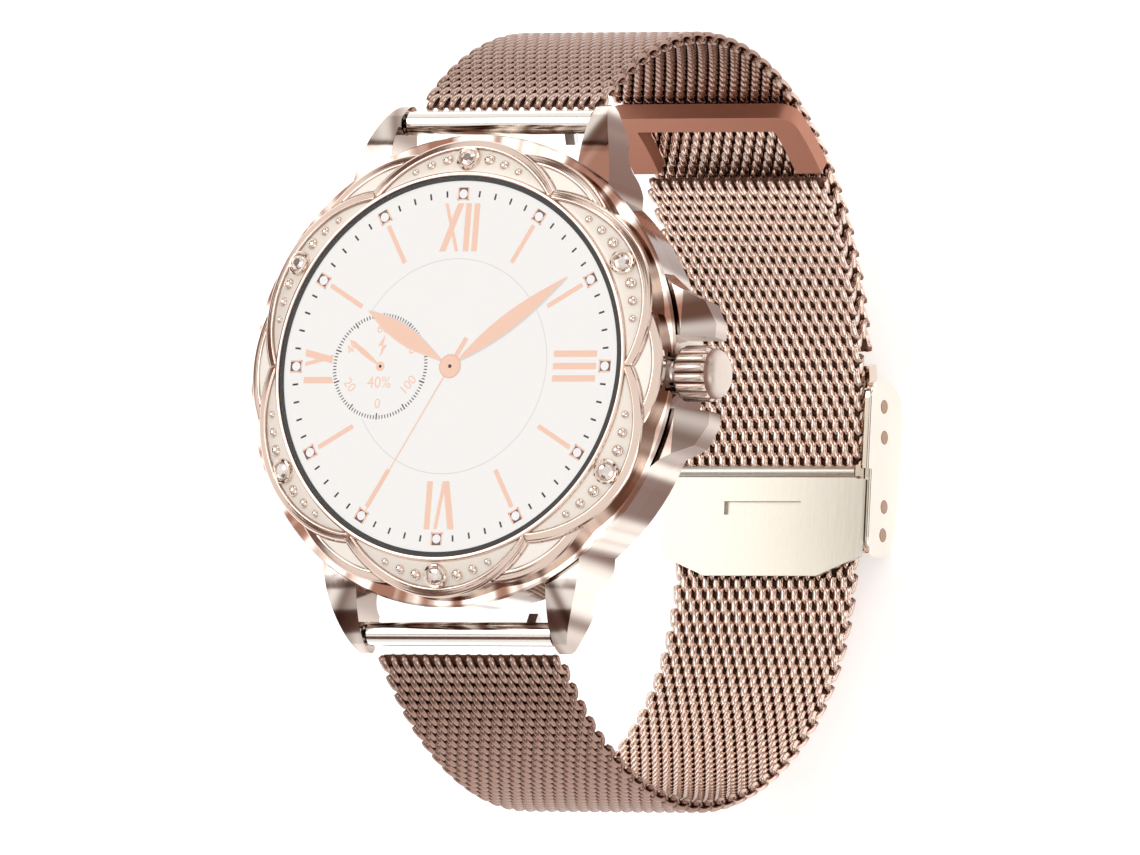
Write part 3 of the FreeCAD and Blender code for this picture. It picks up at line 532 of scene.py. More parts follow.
def strap_paths():
    """Centre lines of both straps as (y, z) points and slopes in degrees."""
    bar = np.array([BAR_Y, BAR_Z])
    t = math.radians(CLASP_TILT)
    normal = np.array([-math.sin(t), math.cos(t)])
    touch = clasp_point(UPPER_RUN_IN, -LAYER_STEP)
    reach = bar - touch
    radius = reach @ reach / (2 * reach @ normal)
    centre = touch + radius * normal
    upper = arc_points(centre, radius, HOOK_END_ANGLE, angle_of(centre, bar))
    tail = arc_points(centre, radius - LAYER_STEP, CLASP_TILT, TAIL_END_ANGLE)
    bend_centre = clasp_point(LOWER_RUN_OUT, BEND_RADIUS)
    bend = arc_points(bend_centre, BEND_RADIUS, BEND_END, CLASP_TILT)
    target = bar * (-1, 1) - bend_centre
    along = target @ towards(BEND_END)
    side_radius = (target @ target - 2 * BEND_RADIUS * along + BEND_RADIUS ** 2) / (2 * (BEND_RADIUS - along))
    side_centre = bend_centre + (BEND_RADIUS - side_radius) * towards(BEND_END)
    side = arc_points(side_centre, side_radius, angle_of(side_centre, bar * (-1, 1)), BEND_END)
    run = np.linspace(LOWER_RUN_OUT, UPPER_RUN_IN, RUN_POINTS)[:, None]
    line = clasp_point(0, 0) + run * np.array([math.cos(t), math.sin(t)])
    straight = (line, np.full(RUN_POINTS, CLASP_TILT))
    lower = [np.concatenate(part) for part in zip(side, bend, straight, tail)]
    return upper, lower


ROW_PITCH = 1.08
COIL_TURNS = 16.5
COIL_REACH = 0.78
COIL_RISE = 0.43
STRAIGHTEN = 0.2
WIRE_RADIUS = 0.265
WIRE_WIDE = 1.42
WIRE_SIDES = 5
TURN_POINTS = 12
CORE_POINTS = 160
CORE_INSET = 0.25
FREE_END_ROOM = 1.2
BAR_END_ROOM = 2.2
CLASP_SHARE = 0.6
EDGE_X = STRAP_WIDTH / 2 - WIRE_RADIUS * WIRE_WIDE
X_AXIS = np.array([1.0, 0.0, 0.0])


def weave(name, path, start, end, hand, body):
    """Mesh of flattened wire coils across the strap, each row linked through its neighbours.

    A coil of row k is x = x0 + pitch (f + c sin 2f) / 2 pi across the strap, s = k p + a cos(f + k pi)
    along it and n = b sin(f + k pi), a little peaked, above it, with f from 0 to 2 pi times the turns.
    The odd rows are half a turn on, so that their loops pass between their neighbours' loops.  s and n
    are then laid on the path.  A dark sheet along the path, the core, is painted shade: it stands for the
    shade inside the mesh and closes the view through it.
    """
    points, slopes = path
    length = np.concatenate([[0], np.cumsum(np.linalg.norm(np.diff(points, axis=0), axis=1))])
    rows = np.arange(math.ceil(start / ROW_PITCH), math.floor(end / ROW_PITCH) + 1)
    phase = np.linspace(0, 2 * np.pi * COIL_TURNS, int(COIL_TURNS * TURN_POINTS) + 1)
    f = phase[None, :] + (rows % 2)[:, None] * np.pi
    pitch = 2 * EDGE_X / COIL_TURNS
    x = np.linspace(-EDGE_X, EDGE_X, len(phase)) + STRAIGHTEN * pitch / (2 * np.pi) * np.sin(2 * f)
    s = rows[:, None] * ROW_PITCH + COIL_REACH * np.cos(f)
    n = hand * COIL_RISE * np.sin(f) * (1.0 + 0.12 * np.cos(2 * f))
    slope = np.radians(np.interp(s, length, slopes))
    y = np.interp(s, length, points[:, 0]) - n * np.sin(slope)
    z = np.interp(s, length, points[:, 1]) + n * np.cos(slope)
    vertices, faces = tubes(np.stack([x, y, z], -1), WIRE_RADIUS, WIRE_SIDES, X_AXIS, wide=WIRE_WIDE)
    piece = link(name, vertices, faces, body, rose_soft, smooth_angle=0)
    # 'open' is 1 where the wire rises to the top or bottom of its coil and 0 between the layers, where the
    # material paints shade.
    raised = np.clip(np.abs(np.sin(f)) * 1.5 - 0.1, 0, 1)
    raised = np.concatenate([raised[:, :1], raised, raised[:, -1:]], 1)
    store(piece, "open", np.repeat(raised.ravel(), WIRE_SIDES))
    # The core: a dark sheet of painted shade between the wire layers.
    core_s = np.linspace(start, end, CORE_POINTS)
    core_y = np.interp(core_s, length, points[:, 0])
    core_z = np.interp(core_s, length, points[:, 1])
    sides = np.array([-1.0, 1.0]) * (EDGE_X - CORE_INSET)
    core = np.stack(np.broadcast_arrays(sides[None, :], core_y[:, None], core_z[:, None]), -1)
    inner = link(name + "_painted_shade_sheet", core, grid_faces(CORE_POINTS, 2), body, weave_core, smooth_angle=0)
    return piece


def path_length(path):
    return float(np.linalg.norm(np.diff(path[0], axis=0), axis=1).sum())


upper_path, lower_path = strap_paths()
upper_length = path_length(upper_path)
lower_length = path_length(lower_path)
upper_weave = weave("upper_weave", upper_path, FREE_END_ROOM, upper_length - BAR_END_ROOM, -1, "upper_strap")
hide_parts("upper_mesh")
clasp_row = lower_length * CLASP_SHARE
lower_weave = weave("lower_weave", lower_path, BAR_END_ROOM, clasp_row, 1, "lower_strap")
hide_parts("lower_mesh")
weave("tail_weave", lower_path, clasp_row, lower_length - FREE_END_ROOM, 1, "lower_strap")


# =====================================================================================
# Bezel: lip, interlaced petal bands, beads and stones
# =====================================================================================
LIP_INNER = 16.65
LIP_OUTER = 17.08
LIP_TOP = 11.6
BAND_FOOT = 17.25
BAND_RISE = 2.4
BAND_HALF = 0.42
SLOPE_TOP = 11.28
SLOPE_FOOT = 9.95
SLOPE_OUTER = 20.05
SLOPE_POWER = 1.25
ARCH_HALF = 30
OFF_THE_ARCH = -99.0
PETAL_LEAN = 0.86
RIDGE_OFF = 0.27
RIDGE_HALF = 0.13
GROOVE_SHADE_OFF = 0.06
GROOVE_SHADE_HALF = 0.09
FIELD_EDGE = 0.08
EVEN_HOURS = (0, 2, 4, 6, 8, 10)
ODD_HOURS = (1, 3, 5, 7, 9, 11)
BEZEL_COLUMNS = 1440
SLOPE_ROWS = 40
WALL_SHARES = (0.25, 0.6, 1.0)


def petal_line(degrees, hour):
    """Radius of one petal's middle line: r0 + h cos(3 d) to the 0.9 over 60 degrees round its hour."""
    off = (degrees - hour * 30 + 180) % 360 - 180
    inside = np.abs(off) < ARCH_HALF
    arch = np.cos(np.pi * np.clip(off, -ARCH_HALF, ARCH_HALF) / (2 * ARCH_HALF))
    return np.where(inside, BAND_FOOT + BAND_RISE * arch ** 0.9, OFF_THE_ARCH)


def flank(distance, width):
    """1 on a band's middle, falling smoothly to 0 at its edge."""
    return np.clip(1 - (distance / width) ** 2, 0, 1) ** 0.5


def slope_height(radius):
    """Height of the plain slope, which falls a little faster towards its foot."""
    share = (radius - LIP_OUTER) / (SLOPE_OUTER - LIP_OUTER)
    return SLOPE_TOP + (SLOPE_FOOT - SLOPE_TOP) * share ** SLOPE_POWER


def petal_band(off, rise, ridge):
    """Height of a petal's band at a distance off its middle line, with a small ridge each side."""
    lean = off * PETAL_LEAN
    return rise * flank(lean, BAND_HALF) + ridge * flank(np.abs(lean) - RIDGE_OFF, RIDGE_HALF)


def relief(radius, degrees):
    """Height of the sloping band: a base slope, then the odd petals, then the even ones over them.

    Each petal is a raised double-ridged band along an arch r = r0 + h cos(3 d) round its hour, and
    the field under an even arch hides whatever lies below it.
    """
    base = slope_height(radius)
    odd = np.zeros_like(base)
    for hour in ODD_HOURS:
        off = radius - petal_line(degrees, hour)
        field = 0.07 * (off < 0)
        odd = np.maximum(odd, np.maximum(petal_band(off, 0.20, 0.05), field))
    even = np.zeros_like(base)
    inside = np.zeros_like(base, dtype=bool)
    for hour in EVEN_HOURS:
        off = radius - petal_line(degrees, hour)
        even = np.maximum(even, petal_band(off, 0.30, 0.06))
        inside |= off < BAND_HALF
    return base + np.where(inside, even, odd)


def painted_groove_shade(radius, degrees):
    """How dark the painted groove shade beside each band is: most where |off| is just past its half width."""
    line = np.zeros_like(radius)
    hidden = np.zeros(radius.shape, dtype=bool)
    for hour in EVEN_HOURS + ODD_HOURS:
        off = radius - petal_line(degrees, hour)
        beside = np.clip(1 - np.abs(np.abs(off) - BAND_HALF - GROOVE_SHADE_OFF) / GROOVE_SHADE_HALF, 0, 1)
        line = np.maximum(line, np.where(hidden & (hour % 2 > 0), 0, beside))
        if hour % 2 == 0:
            hidden |= off < BAND_HALF + GROOVE_SHADE_OFF
    return line * 0.8


def cream_fields(radius, degrees):
    """1 inside the odd hours' almonds between the even petals, and 0.9 inside the even ones."""
    inside = np.zeros_like(radius)
    for hour in ODD_HOURS:
        off = radius - petal_line(degrees, hour)
        inside = np.maximum(inside, np.clip((-off - BAND_HALF) / FIELD_EDGE, 0, 1))
    for hour in EVEN_HOURS:
        off = radius - petal_line(degrees, hour)
        inside *= np.clip((off - BAND_HALF - 0.1) / FIELD_EDGE, 0, 1)
        inside = np.maximum(inside, 0.9 * np.clip((-off - BAND_HALF) / FIELD_EDGE, 0, 1))
    return inside


def outline(degrees):
    """Outer radius of the scalloped ring."""
    reach = [petal_line(degrees, hour) for hour in range(12)]
    return np.max(reach, axis=0) + BAND_HALF * 0.95


def bezel():
    """Grid round the dial: the glass seat and lip as a lathe, the relief, then the outer wall."""
    degrees = np.linspace(0, 360, BEZEL_COLUMNS, endpoint=False)
    clock = 90 - degrees
    seat = [(16.05, FLANGE_TOP), (16.05, 11.2), (LIP_INNER, 11.2), (LIP_INNER, LIP_TOP - 0.12)]
    lip = [(LIP_INNER + 0.04, LIP_TOP - 0.03), (LIP_INNER + 0.12, LIP_TOP), (LIP_OUTER - 0.16, LIP_TOP),
           (LIP_OUTER - 0.05, LIP_TOP - 0.05), (LIP_OUTER, LIP_TOP - 0.16)]
    rows = []
    for radius, height in seat + lip:
        rows.append((np.full(BEZEL_COLUMNS, radius), np.full(BEZEL_COLUMNS, height)))
    outer = outline(clock)
    for share in np.linspace(0, 1, SLOPE_ROWS):
        radius = LIP_OUTER + 0.02 + (outer - LIP_OUTER - 0.02) * share
        rows.append((radius, relief(radius, clock)))
    edge_height = relief(outer, clock)
    for share in WALL_SHARES:
        inset = 0.10 * share
        rows.append((outer - inset, edge_height + (FLANGE_TOP - edge_height) * share))
    radius = np.array([r for r, h in rows])
    height = np.array([h for r, h in rows])
    angle = np.radians(degrees)
    points = np.stack([radius * np.cos(angle), radius * np.sin(angle), height], -1)
    faces = grid_faces(len(rows), BEZEL_COLUMNS, wrap_rows=True, wrap_columns=True)[:, ::-1]
    piece = link("petal_bezel", points, faces, "case", engraved("petal_plate"), smooth_angle=38)
    row = np.arange(len(rows))
    on_slope = (row >= len(seat) + len(lip)) & (row < len(rows) - len(WALL_SHARES))
    clocks = np.broadcast_to(clock, radius.shape)
    store(piece, "cream", cream_fields(radius, clocks) * on_slope[:, None])
    # 'line' on the bezel is painted shade in the grooves beside the bands.
    store(piece, "line", painted_groove_shade(radius, clocks) * on_slope[:, None])
    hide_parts("bezel_ring")


def clock_xy(radius, degrees):
    """(x, y) at a clock angle, clockwise from 12."""
    a = np.radians(np.asarray(degrees, dtype=float))
    return np.stack([radius * np.sin(a), radius * np.cos(a)], -1)


def slope_frames(radius, degrees):
    """Centres and tilted axes on the bezel's slope at clock angles."""
    xy = clock_xy(radius, degrees)
    height = slope_height(radius)
    outward = np.concatenate([xy / np.linalg.norm(xy, axis=-1, keepdims=True), np.zeros((len(xy), 1))], -1)
    lean = math.atan2(SLOPE_TOP - SLOPE_FOOT, SLOPE_OUTER - LIP_OUTER) * 0.8
    up = outward * math.sin(lean) + np.array([0, 0, math.cos(lean)])
    side = np.cross(up, outward)
    side /= np.linalg.norm(side, axis=-1, keepdims=True)
    out = np.cross(side, up)
    centre = np.concatenate([xy, np.full((len(xy), 1), height)], -1)
    return centre, out, side, up


def stamp(shape, centre, out, side, up):
    """Copy a shape's points (rows of x, y, z) onto each frame."""
    x, y, z = shape[:, 0], shape[:, 1], shape[:, 2]
    return centre[:, None] + out[:, None] * x[:, None] + side[:, None] * y[:, None] + up[:, None] * z[:, None]


# degrees off the stone, orbit and size of each bead
BEADS = ((6.4, 18.22, 0.54), (11.4, 18.0, 0.45), (16.4, 17.75, 0.35))
STONES = 6


def beads():
    """Three half-round beads each side of every stone, smaller towards the petal's ends."""
    rise = np.linspace(-0.3, np.pi / 2, 7)[:-1]
    dome = lathe([(np.cos(a), np.sin(a)) for a in rise] + [(0.02, 1.0)], 14)
    one = dome.reshape(-1, 3)
    faces = grid_faces(*dome.shape[:2], wrap_columns=True)
    vertices = []
    for off, radius, size in BEADS:
        degrees = [stone * 360 / STONES + side * off for stone in range(STONES) for side in (1, -1)]
        frames = slope_frames(radius, degrees)
        vertices.append(stamp(one * size * np.array([1, 1, 0.8]), *frames).reshape(-1, 3))
    faces = repeat_faces(faces, 2 * STONES * len(BEADS), len(one))
    piece = link("bezel_beads", np.concatenate(vertices), faces, "case", rose)


def stone_frames():
    """Frames of the six stones, at every second hour."""
    centre, out, side, up = slope_frames(STONE_ORBIT, [stone * 360 / STONES for stone in range(STONES)])
    return centre + up * 0.2, out, side, up


def cut_stones():
    """Six round stones: a table, eight-fold facets and a girdle, as rings of radius, height, twist."""
    turns = 16
    table = 0.5
    wobble = np.where(np.arange(turns) % 2, 0.9, 1.0)
    rings = []
    profile = ((0.02, 0.36, 0), (table, 0.36, 0), (0.82, 0.2, 1), (0.98, 0.02, 0), (0.98, -0.12, 0))
    for radius, height, twist in profile:
        a = np.linspace(0, 2 * np.pi, turns, endpoint=False) + twist * np.pi / turns
        r = radius * (wobble if radius == table else 1.0)
        rings.append(np.stack([r * np.cos(a), r * np.sin(a), np.full(turns, height)], -1))
    shape = np.array(rings) * STONE_RADIUS * 0.82
    faces = grid_faces(len(rings), turns, wrap_columns=True)[:, ::-1]
    faces = repeat_faces(faces, STONES, turns * len(rings))
    points = stamp(shape.reshape(-1, 3), *stone_frames())
    stones = link("cut_stones", points, faces, "case", slots["stone"], smooth_angle=5)
    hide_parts("bezel_stones")


def stone_rims():
    """A rolled rim round each stone, as a lathe."""
    turns = 32
    profile = [(0.74, 0.02), (0.76, 0.14), (0.84, 0.24), (0.95, 0.27), (1.06, 0.2), (1.12, 0.02),
               (1.12, -0.4)]
    centre, out, side, up = stone_frames()
    points = stamp(lathe(profile, turns).reshape(-1, 3), centre - up * 0.04, out, side, up)
    faces = grid_faces(len(profile), turns, wrap_columns=True)[:, ::-1]
    rims = link("stone_rims", points, repeat_faces(faces, STONES, len(profile) * turns), "case", rose)
    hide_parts("stone_settings")


bezel()
beads()
cut_stones()
stone_rims()


# =====================================================================================
# Dial graphics: flat shapes just above the panel
# =====================================================================================
ink_rose = printed("dial_rose", (0.80, 0.525, 0.405))
ink_edge = printed("dial_rose_shadow", (0.62, 0.36, 0.26))
ink_black = printed("dial_black", (0.012, 0.012, 0.012), glow=0.0)
ink_grey = printed("dial_grey", (0.62, 0.62, 0.62))
ink_brown = printed("dial_brown", (0.16, 0.07, 0.05), glow=0.1)
ink_pearl = printed("dial_pearl", (0.80, 0.80, 0.82), lift=0.2)


def flat(name, outlines, material, lift):
    """Flat faces at a small height over the panel, one per outline of (x, y) points."""
    mesh = bpy.data.meshes.new(name)
    points = np.concatenate([np.asarray(o, dtype=float) for o in outlines])
    height = np.full((len(points), 1), DIAL_Z + lift)
    sizes = [len(o) for o in outlines]
    starts = np.cumsum([0] + sizes)
    faces = [list(range(a, a + n)) for a, n in zip(starts, sizes)]
    mesh.from_pydata((np.concatenate([points, height], 1) * MM).tolist(), [], faces)
    mesh.update()
    piece = bpy.data.objects.new(name, mesh)
    bpy.context.scene.collection.objects.link(piece)
    mesh.materials.append(material)
    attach(piece, "case")
    return piece


def turned(points, degrees, shift=(0.0, 0.0)):
    """Turn points drawn for 12 o'clock clockwise to a clock angle, then move them."""
    a = math.radians(degrees)
    points = np.asarray(points, dtype=float)
    x = points[:, 0] * math.cos(a) + points[:, 1] * math.sin(a)
    y = points[:, 1] * math.cos(a) - points[:, 0] * math.sin(a)
    return np.stack([x, y], -1) + np.asarray(shift)


def bar(width, low, high):
    """A radial bar for 12 o'clock, wound anticlockwise so that it faces up."""
    return [(-width / 2, low), (width / 2, low), (width / 2, high), (-width / 2, high)]


def disc(radius, centre=(0.0, 0.0), count=48):
    """Outline of a disc."""
    a = np.linspace(0, 2 * np.pi, count, endpoint=False)
    return np.stack([radius * np.cos(a) + centre[0], radius * np.sin(a) + centre[1]], -1)


def ring_pieces(radius, width, centre=(0.0, 0.0), count=160):
    """A thin ring as quads."""
    a = np.linspace(0, 2 * np.pi, count + 1)
    outer = np.stack([np.cos(a), np.sin(a)], -1) * (radius + width / 2) + centre
    inner = np.stack([np.cos(a), np.sin(a)], -1) * (radius - width / 2) + centre
    return [np.array([outer[i], outer[i + 1], inner[i + 1], inner[i]]) for i in range(count)]


def leaf(tail, tip, widest, at):
    """Outline of a leaf-shaped hand: half width w sin(pi t^k) with its widest point where asked."""
    t = np.linspace(0, 1, 15)
    power = math.log(0.5) / math.log((at - tail) / (tip - tail))
    half = widest * np.sin(np.pi * t ** power) + 0.05 * (1 - t)
    length = tail + (tip - tail) * t
    right = np.stack([half, length], -1)
    left = np.stack([-half, length], -1)[::-1]
    return np.concatenate([right, left[1:]])


def slanted(x_low, x_high, low, high, width):
    """A stroke from (x_low, low) to (x_high, high)."""
    half = width / 2
    return [(x_low - half, low), (x_low + half, low), (x_high + half, high), (x_high - half, high)]


NUMERAL_FOOT = 10.05
NUMERAL_HEAD = 14.25


def roman(strokes, degrees):
    """A numeral's strokes, each (x at its foot, x at its head, width), turned to a clock angle."""
    return [turned(slanted(a, b, NUMERAL_FOOT, NUMERAL_HEAD, w), degrees) for a, b, w in strokes]


def numerals(over):
    """Strokes of XII, III, VI and IX with their feet inwards; V's and X's thick strokes lie over."""
    thick = 0.62
    thin = 0.34
    plain = 0.56
    under = {0: [(-0.25, -1.55, thin), (0.62, 0.62, plain), (1.45, 1.45, plain)],
             90: [(-1.08, -1.08, plain), (0.0, 0.0, plain), (1.08, 1.08, plain)],
             180: [(1.05, 1.05, plain), (-0.35, 0.22, thin)],
             270: [(-1.2, -1.2, plain), (1.2, 0.2, thin)]}
    top = {0: [(-1.65, -0.15, thick)], 180: [(-0.52, -1.3, thick)], 270: [(0.2, 1.2, thick)]}
    shapes = []
    for degrees, strokes in (top if over else under).items():
        shapes += roman(strokes, degrees)
    return shapes


# the dial's rows: where each starts and ends, from the middle
BATON = (10.45, 14.2)
TICK = (14.85, 15.4)
MARKER = (14.52, 15.64)
MARKER_WIDTH = 1.12
HOUR_AT = -60
MINUTE_AT = 54
SECOND_AT = 209.5
SHADOW_SHIFT = (0.12, -0.1)
SUB = (-6.83, 0.0)
SUB_RADIUS = 4.75


def text(words, size, centre, degrees, material, lift):
    """Small plain figures from the built-in font."""
    curve = bpy.data.curves.new("figure_" + words.replace("%", "pc"), "FONT")
    curve.body = words
    curve.size = size * MM
    curve.align_x = "CENTER"
    curve.align_y = "CENTER"
    holder = bpy.data.objects.new(curve.name, curve)
    bpy.context.scene.collection.objects.link(holder)
    depsgraph = bpy.context.evaluated_depsgraph_get()
    mesh = bpy.data.meshes.new_from_object(holder.evaluated_get(depsgraph))
    bpy.data.objects.remove(holder)
    count = len(mesh.vertices)
    points = np.empty(count * 3)
    mesh.vertices.foreach_get("co", points)
    points = points.reshape(-1, 3)
    xy = turned(points[:, :2] / MM, degrees, centre)
    points = np.concatenate([xy, np.full((count, 1), DIAL_Z + lift)], 1) * MM
    mesh.vertices.foreach_set("co", points.ravel())
    mesh.materials.clear()
    mesh.materials.append(material)
    piece = bpy.data.objects.new(curve.name, mesh)
    bpy.context.scene.collection.objects.link(piece)
    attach(piece, "case")
    return piece


def dial_rows():
    """Face, ring, batons, numerals, minute ticks and the twelve framed stones."""
    hours = [hour for hour in range(12) if hour % 3]
    flat("dial_face", [disc(16.25, count=180)], slots["screen"], 0.002)
    flat("dial_ring", ring_pieces(9.4, 0.07), ink_grey, 0.004)
    flat("hour_batons", [turned(bar(0.42, *BATON), 30 * h) for h in hours], ink_rose, 0.006)
    flat("hour_numerals", numerals(False), ink_rose, 0.006)
    flat("hour_numerals_over", numerals(True), ink_rose, 0.007)
    ticks = [turned(bar(0.17, *TICK), 6 * m) for m in range(60) if m % 5]
    flat("minute_ticks", ticks, ink_black, 0.006)
    squares = [turned(bar(MARKER_WIDTH, *MARKER), 30 * h) for h in range(12)]
    flat("marker_squares", squares, ink_brown, 0.008)
    edge = []
    for h in range(12):
        edge += [turned(bar(0.14, *MARKER), 30 * h) + clock_xy(0.49 * s, 30 * h + 90) for s in (1, -1)]
        edge.append(turned(bar(MARKER_WIDTH, MARKER[0], MARKER[0] + 0.12), 30 * h))
    flat("marker_edges", edge, ink_rose, 0.010)
    middle = sum(MARKER) / 2
    flat("marker_stones", [disc(0.40, clock_xy(middle, 30 * h), 20) for h in range(12)], ink_pearl, 0.012)


def subdial():
    """Charge scale from 0 to 100 with its figures, bolt and small hand."""
    flat("subdial_face", [disc(SUB_RADIUS, SUB, 96)], slots["screen"], 0.014)
    small = [turned(bar(0.09, 4.3, 4.62), 3.6 * i, SUB) for i in range(100) if i % 10]
    small += [turned(bar(0.12, 4.1, 4.66), 36 * i, SUB) for i in range(10)]
    flat("subdial_ticks", small, ink_black, 0.018)
    for words, degrees, lean in (("0", 180, 0), ("20", 240, 50), ("40", 300, -50), ("60", 0, 0),
                                 ("80", 60, 50), ("100", 120, -50)):
        text(words, 1.2, clock_xy(3.3, degrees) + np.array(SUB), lean, ink_rose, 0.018)
    text("40%", 1.4, (SUB[0], SUB[1] - 1.45), 0, ink_rose, 0.018)
    spot = (SUB[0] + 0.05, 1.75)
    upper = np.array([(0.28, 1.1), (-0.42, 0.02), (0.0, 0.08), (0.06, 0.1)])
    lower = np.array([(0.0, 0.08), (-0.22, -1.0), (0.48, 0.14), (0.06, 0.1)])
    flat("subdial_bolt", [upper + spot, lower + spot], ink_rose, 0.018)
    flat("subdial_hand", [turned(leaf(0.2, 4.1, 0.22, 2.2), -54, SUB)], ink_rose, 0.022)
    flat("subdial_hub", [disc(0.42, SUB)], ink_rose, 0.024)
    flat("subdial_pin", [disc(0.14, SUB, 16)], ink_black, 0.026)


def hands():
    """Two leaf hands over their shadow, the second hand with its counterweight, and the hub."""
    hour = leaf(0.9, 9.8, 0.78, 5.6)
    minute = leaf(0.9, 13.4, 0.72, 6.6)
    shadows = [turned(hour, HOUR_AT + 1, SHADOW_SHIFT), turned(minute, MINUTE_AT, SHADOW_SHIFT)]
    flat("hand_shadows", shadows, ink_grey, 0.028)
    flat("hour_and_minute_hands", [turned(hour, HOUR_AT), turned(minute, MINUTE_AT)], ink_rose, 0.030)
    second = [turned(bar(0.11, 0, 14.7), SECOND_AT), turned(bar(0.42, -2.85, -0.6), SECOND_AT)]
    flat("second_hand", second, ink_rose, 0.034)
    flat("hub_edge", [disc(1.04)], ink_edge, 0.036)
    flat("hub", [disc(0.98)], ink_rose, 0.038)
    flat("hub_pin", [disc(0.17, count=16)], ink_black, 0.040)
    flat("black_border", ring_pieces(16.44, 0.42), ink_black, 0.042)


dial_rows()
subdial()
hands()


# =====================================================================================
# Crown
# =====================================================================================
FLUTES = 15
FLUTE_POINTS = 16
FLUTE_DEPTH = 0.34
BORE_RADIUS = 1.86
BORE_DEPTH = 1.8
BORE_END_RADIUS = 0.6
AXIS_SHIFT = np.array([0, 0, CROWN_AXIS_Z])


def crown_barrel():
    """Barrel with broad rounded flutes: radius R - d (1 - |sin(n a / 2)| to the 0.55), ends rolled in."""
    around = FLUTES * FLUTE_POINTS
    angle = np.linspace(0, 2 * np.pi, around, endpoint=False)
    groove = 1 - np.abs(np.sin(FLUTES * angle / 2)) ** 0.55
    rows = []
    length = CROWN_END - CROWN_START
    stations = [(0.0, 0.80, 0.0), (0.0, 0.92, 0.3), (0.03, 0.97, 0.8), (0.09, 1.0, 1.0), (0.5, 1.0, 1.0),
                (0.91, 1.0, 1.0), (0.97, 0.97, 0.8), (1.0, 0.92, 0.3), (1.0, 0.85, 0.0)]
    for share, size, depth in stations:
        radius = CROWN_RADIUS * size - FLUTE_DEPTH * depth * groove
        x = np.full(around, CROWN_START + share * length)
        rows.append(np.stack([x, radius * np.cos(angle), CROWN_AXIS_Z + radius * np.sin(angle)], -1))
    bore = [(BORE_RADIUS, CROWN_START), (BORE_RADIUS, CROWN_START + BORE_DEPTH),
            (BORE_END_RADIUS, CROWN_START + BORE_DEPTH)]
    inner = lathe(bore, around, "x") + AXIS_SHIFT
    points = np.concatenate([inner[::-1], np.array(rows)])
    faces = grid_faces(len(points), around, wrap_columns=True)[:, ::-1]
    piece = link("fluted_crown", points, faces, "crown_body", engraved("crown_plate"), smooth_angle=50)
    depths = np.array([0.0] * len(inner) + [1.0] * len(stations))
    # 'line' on the barrel is painted shade, darkest down in the flutes' grooves.
    store(piece, "line", depths[:, None] * np.clip(groove * 1.9 - 0.25, 0, 0.95)[None, :])
    store(piece, "cream", np.full((len(points), around), 0.25))
    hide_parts("crown")


def crown_dome():
    """Domed cap, as a lathe whose rim is darker."""
    turns = 64
    dome = [(0.01, CAP_END), (0.55, CAP_END - 0.02), (1.1, CAP_END - 0.1), (1.6, CAP_END - 0.28),
            (1.95, CAP_END - 0.55), (2.15, CAP_END - 0.85), (CAP_RADIUS, CAP_END - 1.1),
            (1.9, CAP_END - 1.25)]
    cap = lathe(dome, turns, "x") + AXIS_SHIFT
    faces = grid_faces(len(dome), turns, wrap_columns=True)
    piece = link("crown_dome", cap, faces, "crown_body", engraved("crown_cap_plate"))
    rim = np.array([0, 0, 0, 0, 0.25, 0.9, 0.9, 0.9])
    store(piece, "line", np.repeat(rim, turns))
    store(piece, "cream", np.full(len(dome) * turns, 0.6))
    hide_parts("crown_cap")


crown_barrel()
crown_dome()


def lock_slot_floor():
    """Sheet just under the lock plate's slot, level with its lower face."""
    middle, height = -2.5, 1.02
    half_width, half_length = 3.9, 0.72
    corners = []
    for x_side, u_side in ((-1, -1), (1, -1), (1, 1), (-1, 1)):
        y, z = clasp_point(middle + u_side * half_length, height)
        corners.append((x_side * half_width, y, z))
    piece = link("lock_slot_floor", corners, [(0, 1, 2, 3)], "lock_plate_body", slots["rose_brushed"])


lock_slot_floor()


# =====================================================================================
# Small springs, and softened edges on the solids
# =====================================================================================
def spring(name, node, radius, wire, turns, centre, body):
    """Helix along X in place of a stack of rings."""
    low, high = (np.array(c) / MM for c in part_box(node))
    f = np.linspace(0, 2 * np.pi * turns, turns * 16 + 1)
    x = np.linspace(low[0] + wire, high[0] - wire, len(f))
    line = np.stack([x, centre[0] + radius * np.cos(f), centre[1] + radius * np.sin(f)], -1)
    points, faces = tubes(line[None], wire, 8, X_AXIS)
    piece = link(name, points, faces, body, slots["spring_steel"], smooth_angle=0)
    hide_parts(node)


spring("crown_coil", "crown_spring", 0.82, 0.1, 6, (0, CROWN_AXIS_Z), "case")
spring("upper_bar_coil", "upper_bar_spring", 0.36, 0.08, 12, (BAR_Y, BAR_Z), "upper_strap")
spring("lower_bar_coil", "lower_bar_spring", 0.36, 0.08, 12, (-BAR_Y, BAR_Z), "lower_strap")

SOFT_EDGES = {"mid_case": 0.28, "clasp_cover": 0.22, "lock_plate": 0.08, "tail_loop": 0.25, "clasp_base": 0.1,
              "upper_end_tube": 0.1, "lower_end_tube": 0.1, "crystal": 0.05, "case_back": 0.12,
              "upper_release_lever": 0.08, "lower_release_lever": 0.08, "hook_end": 0.1}
for node, width in SOFT_EDGES.items():
    item = frame["nodes"][node]
    modifier = item.modifiers.new("soft_edges", "BEVEL")
    modifier.width = width * MM
    modifier.segments = 3
    modifier.limit_method = "ANGLE"
    modifier.angle_limit = math.radians(38)
    modifier.use_clamp_overlap = True
    modifier.harden_normals = True


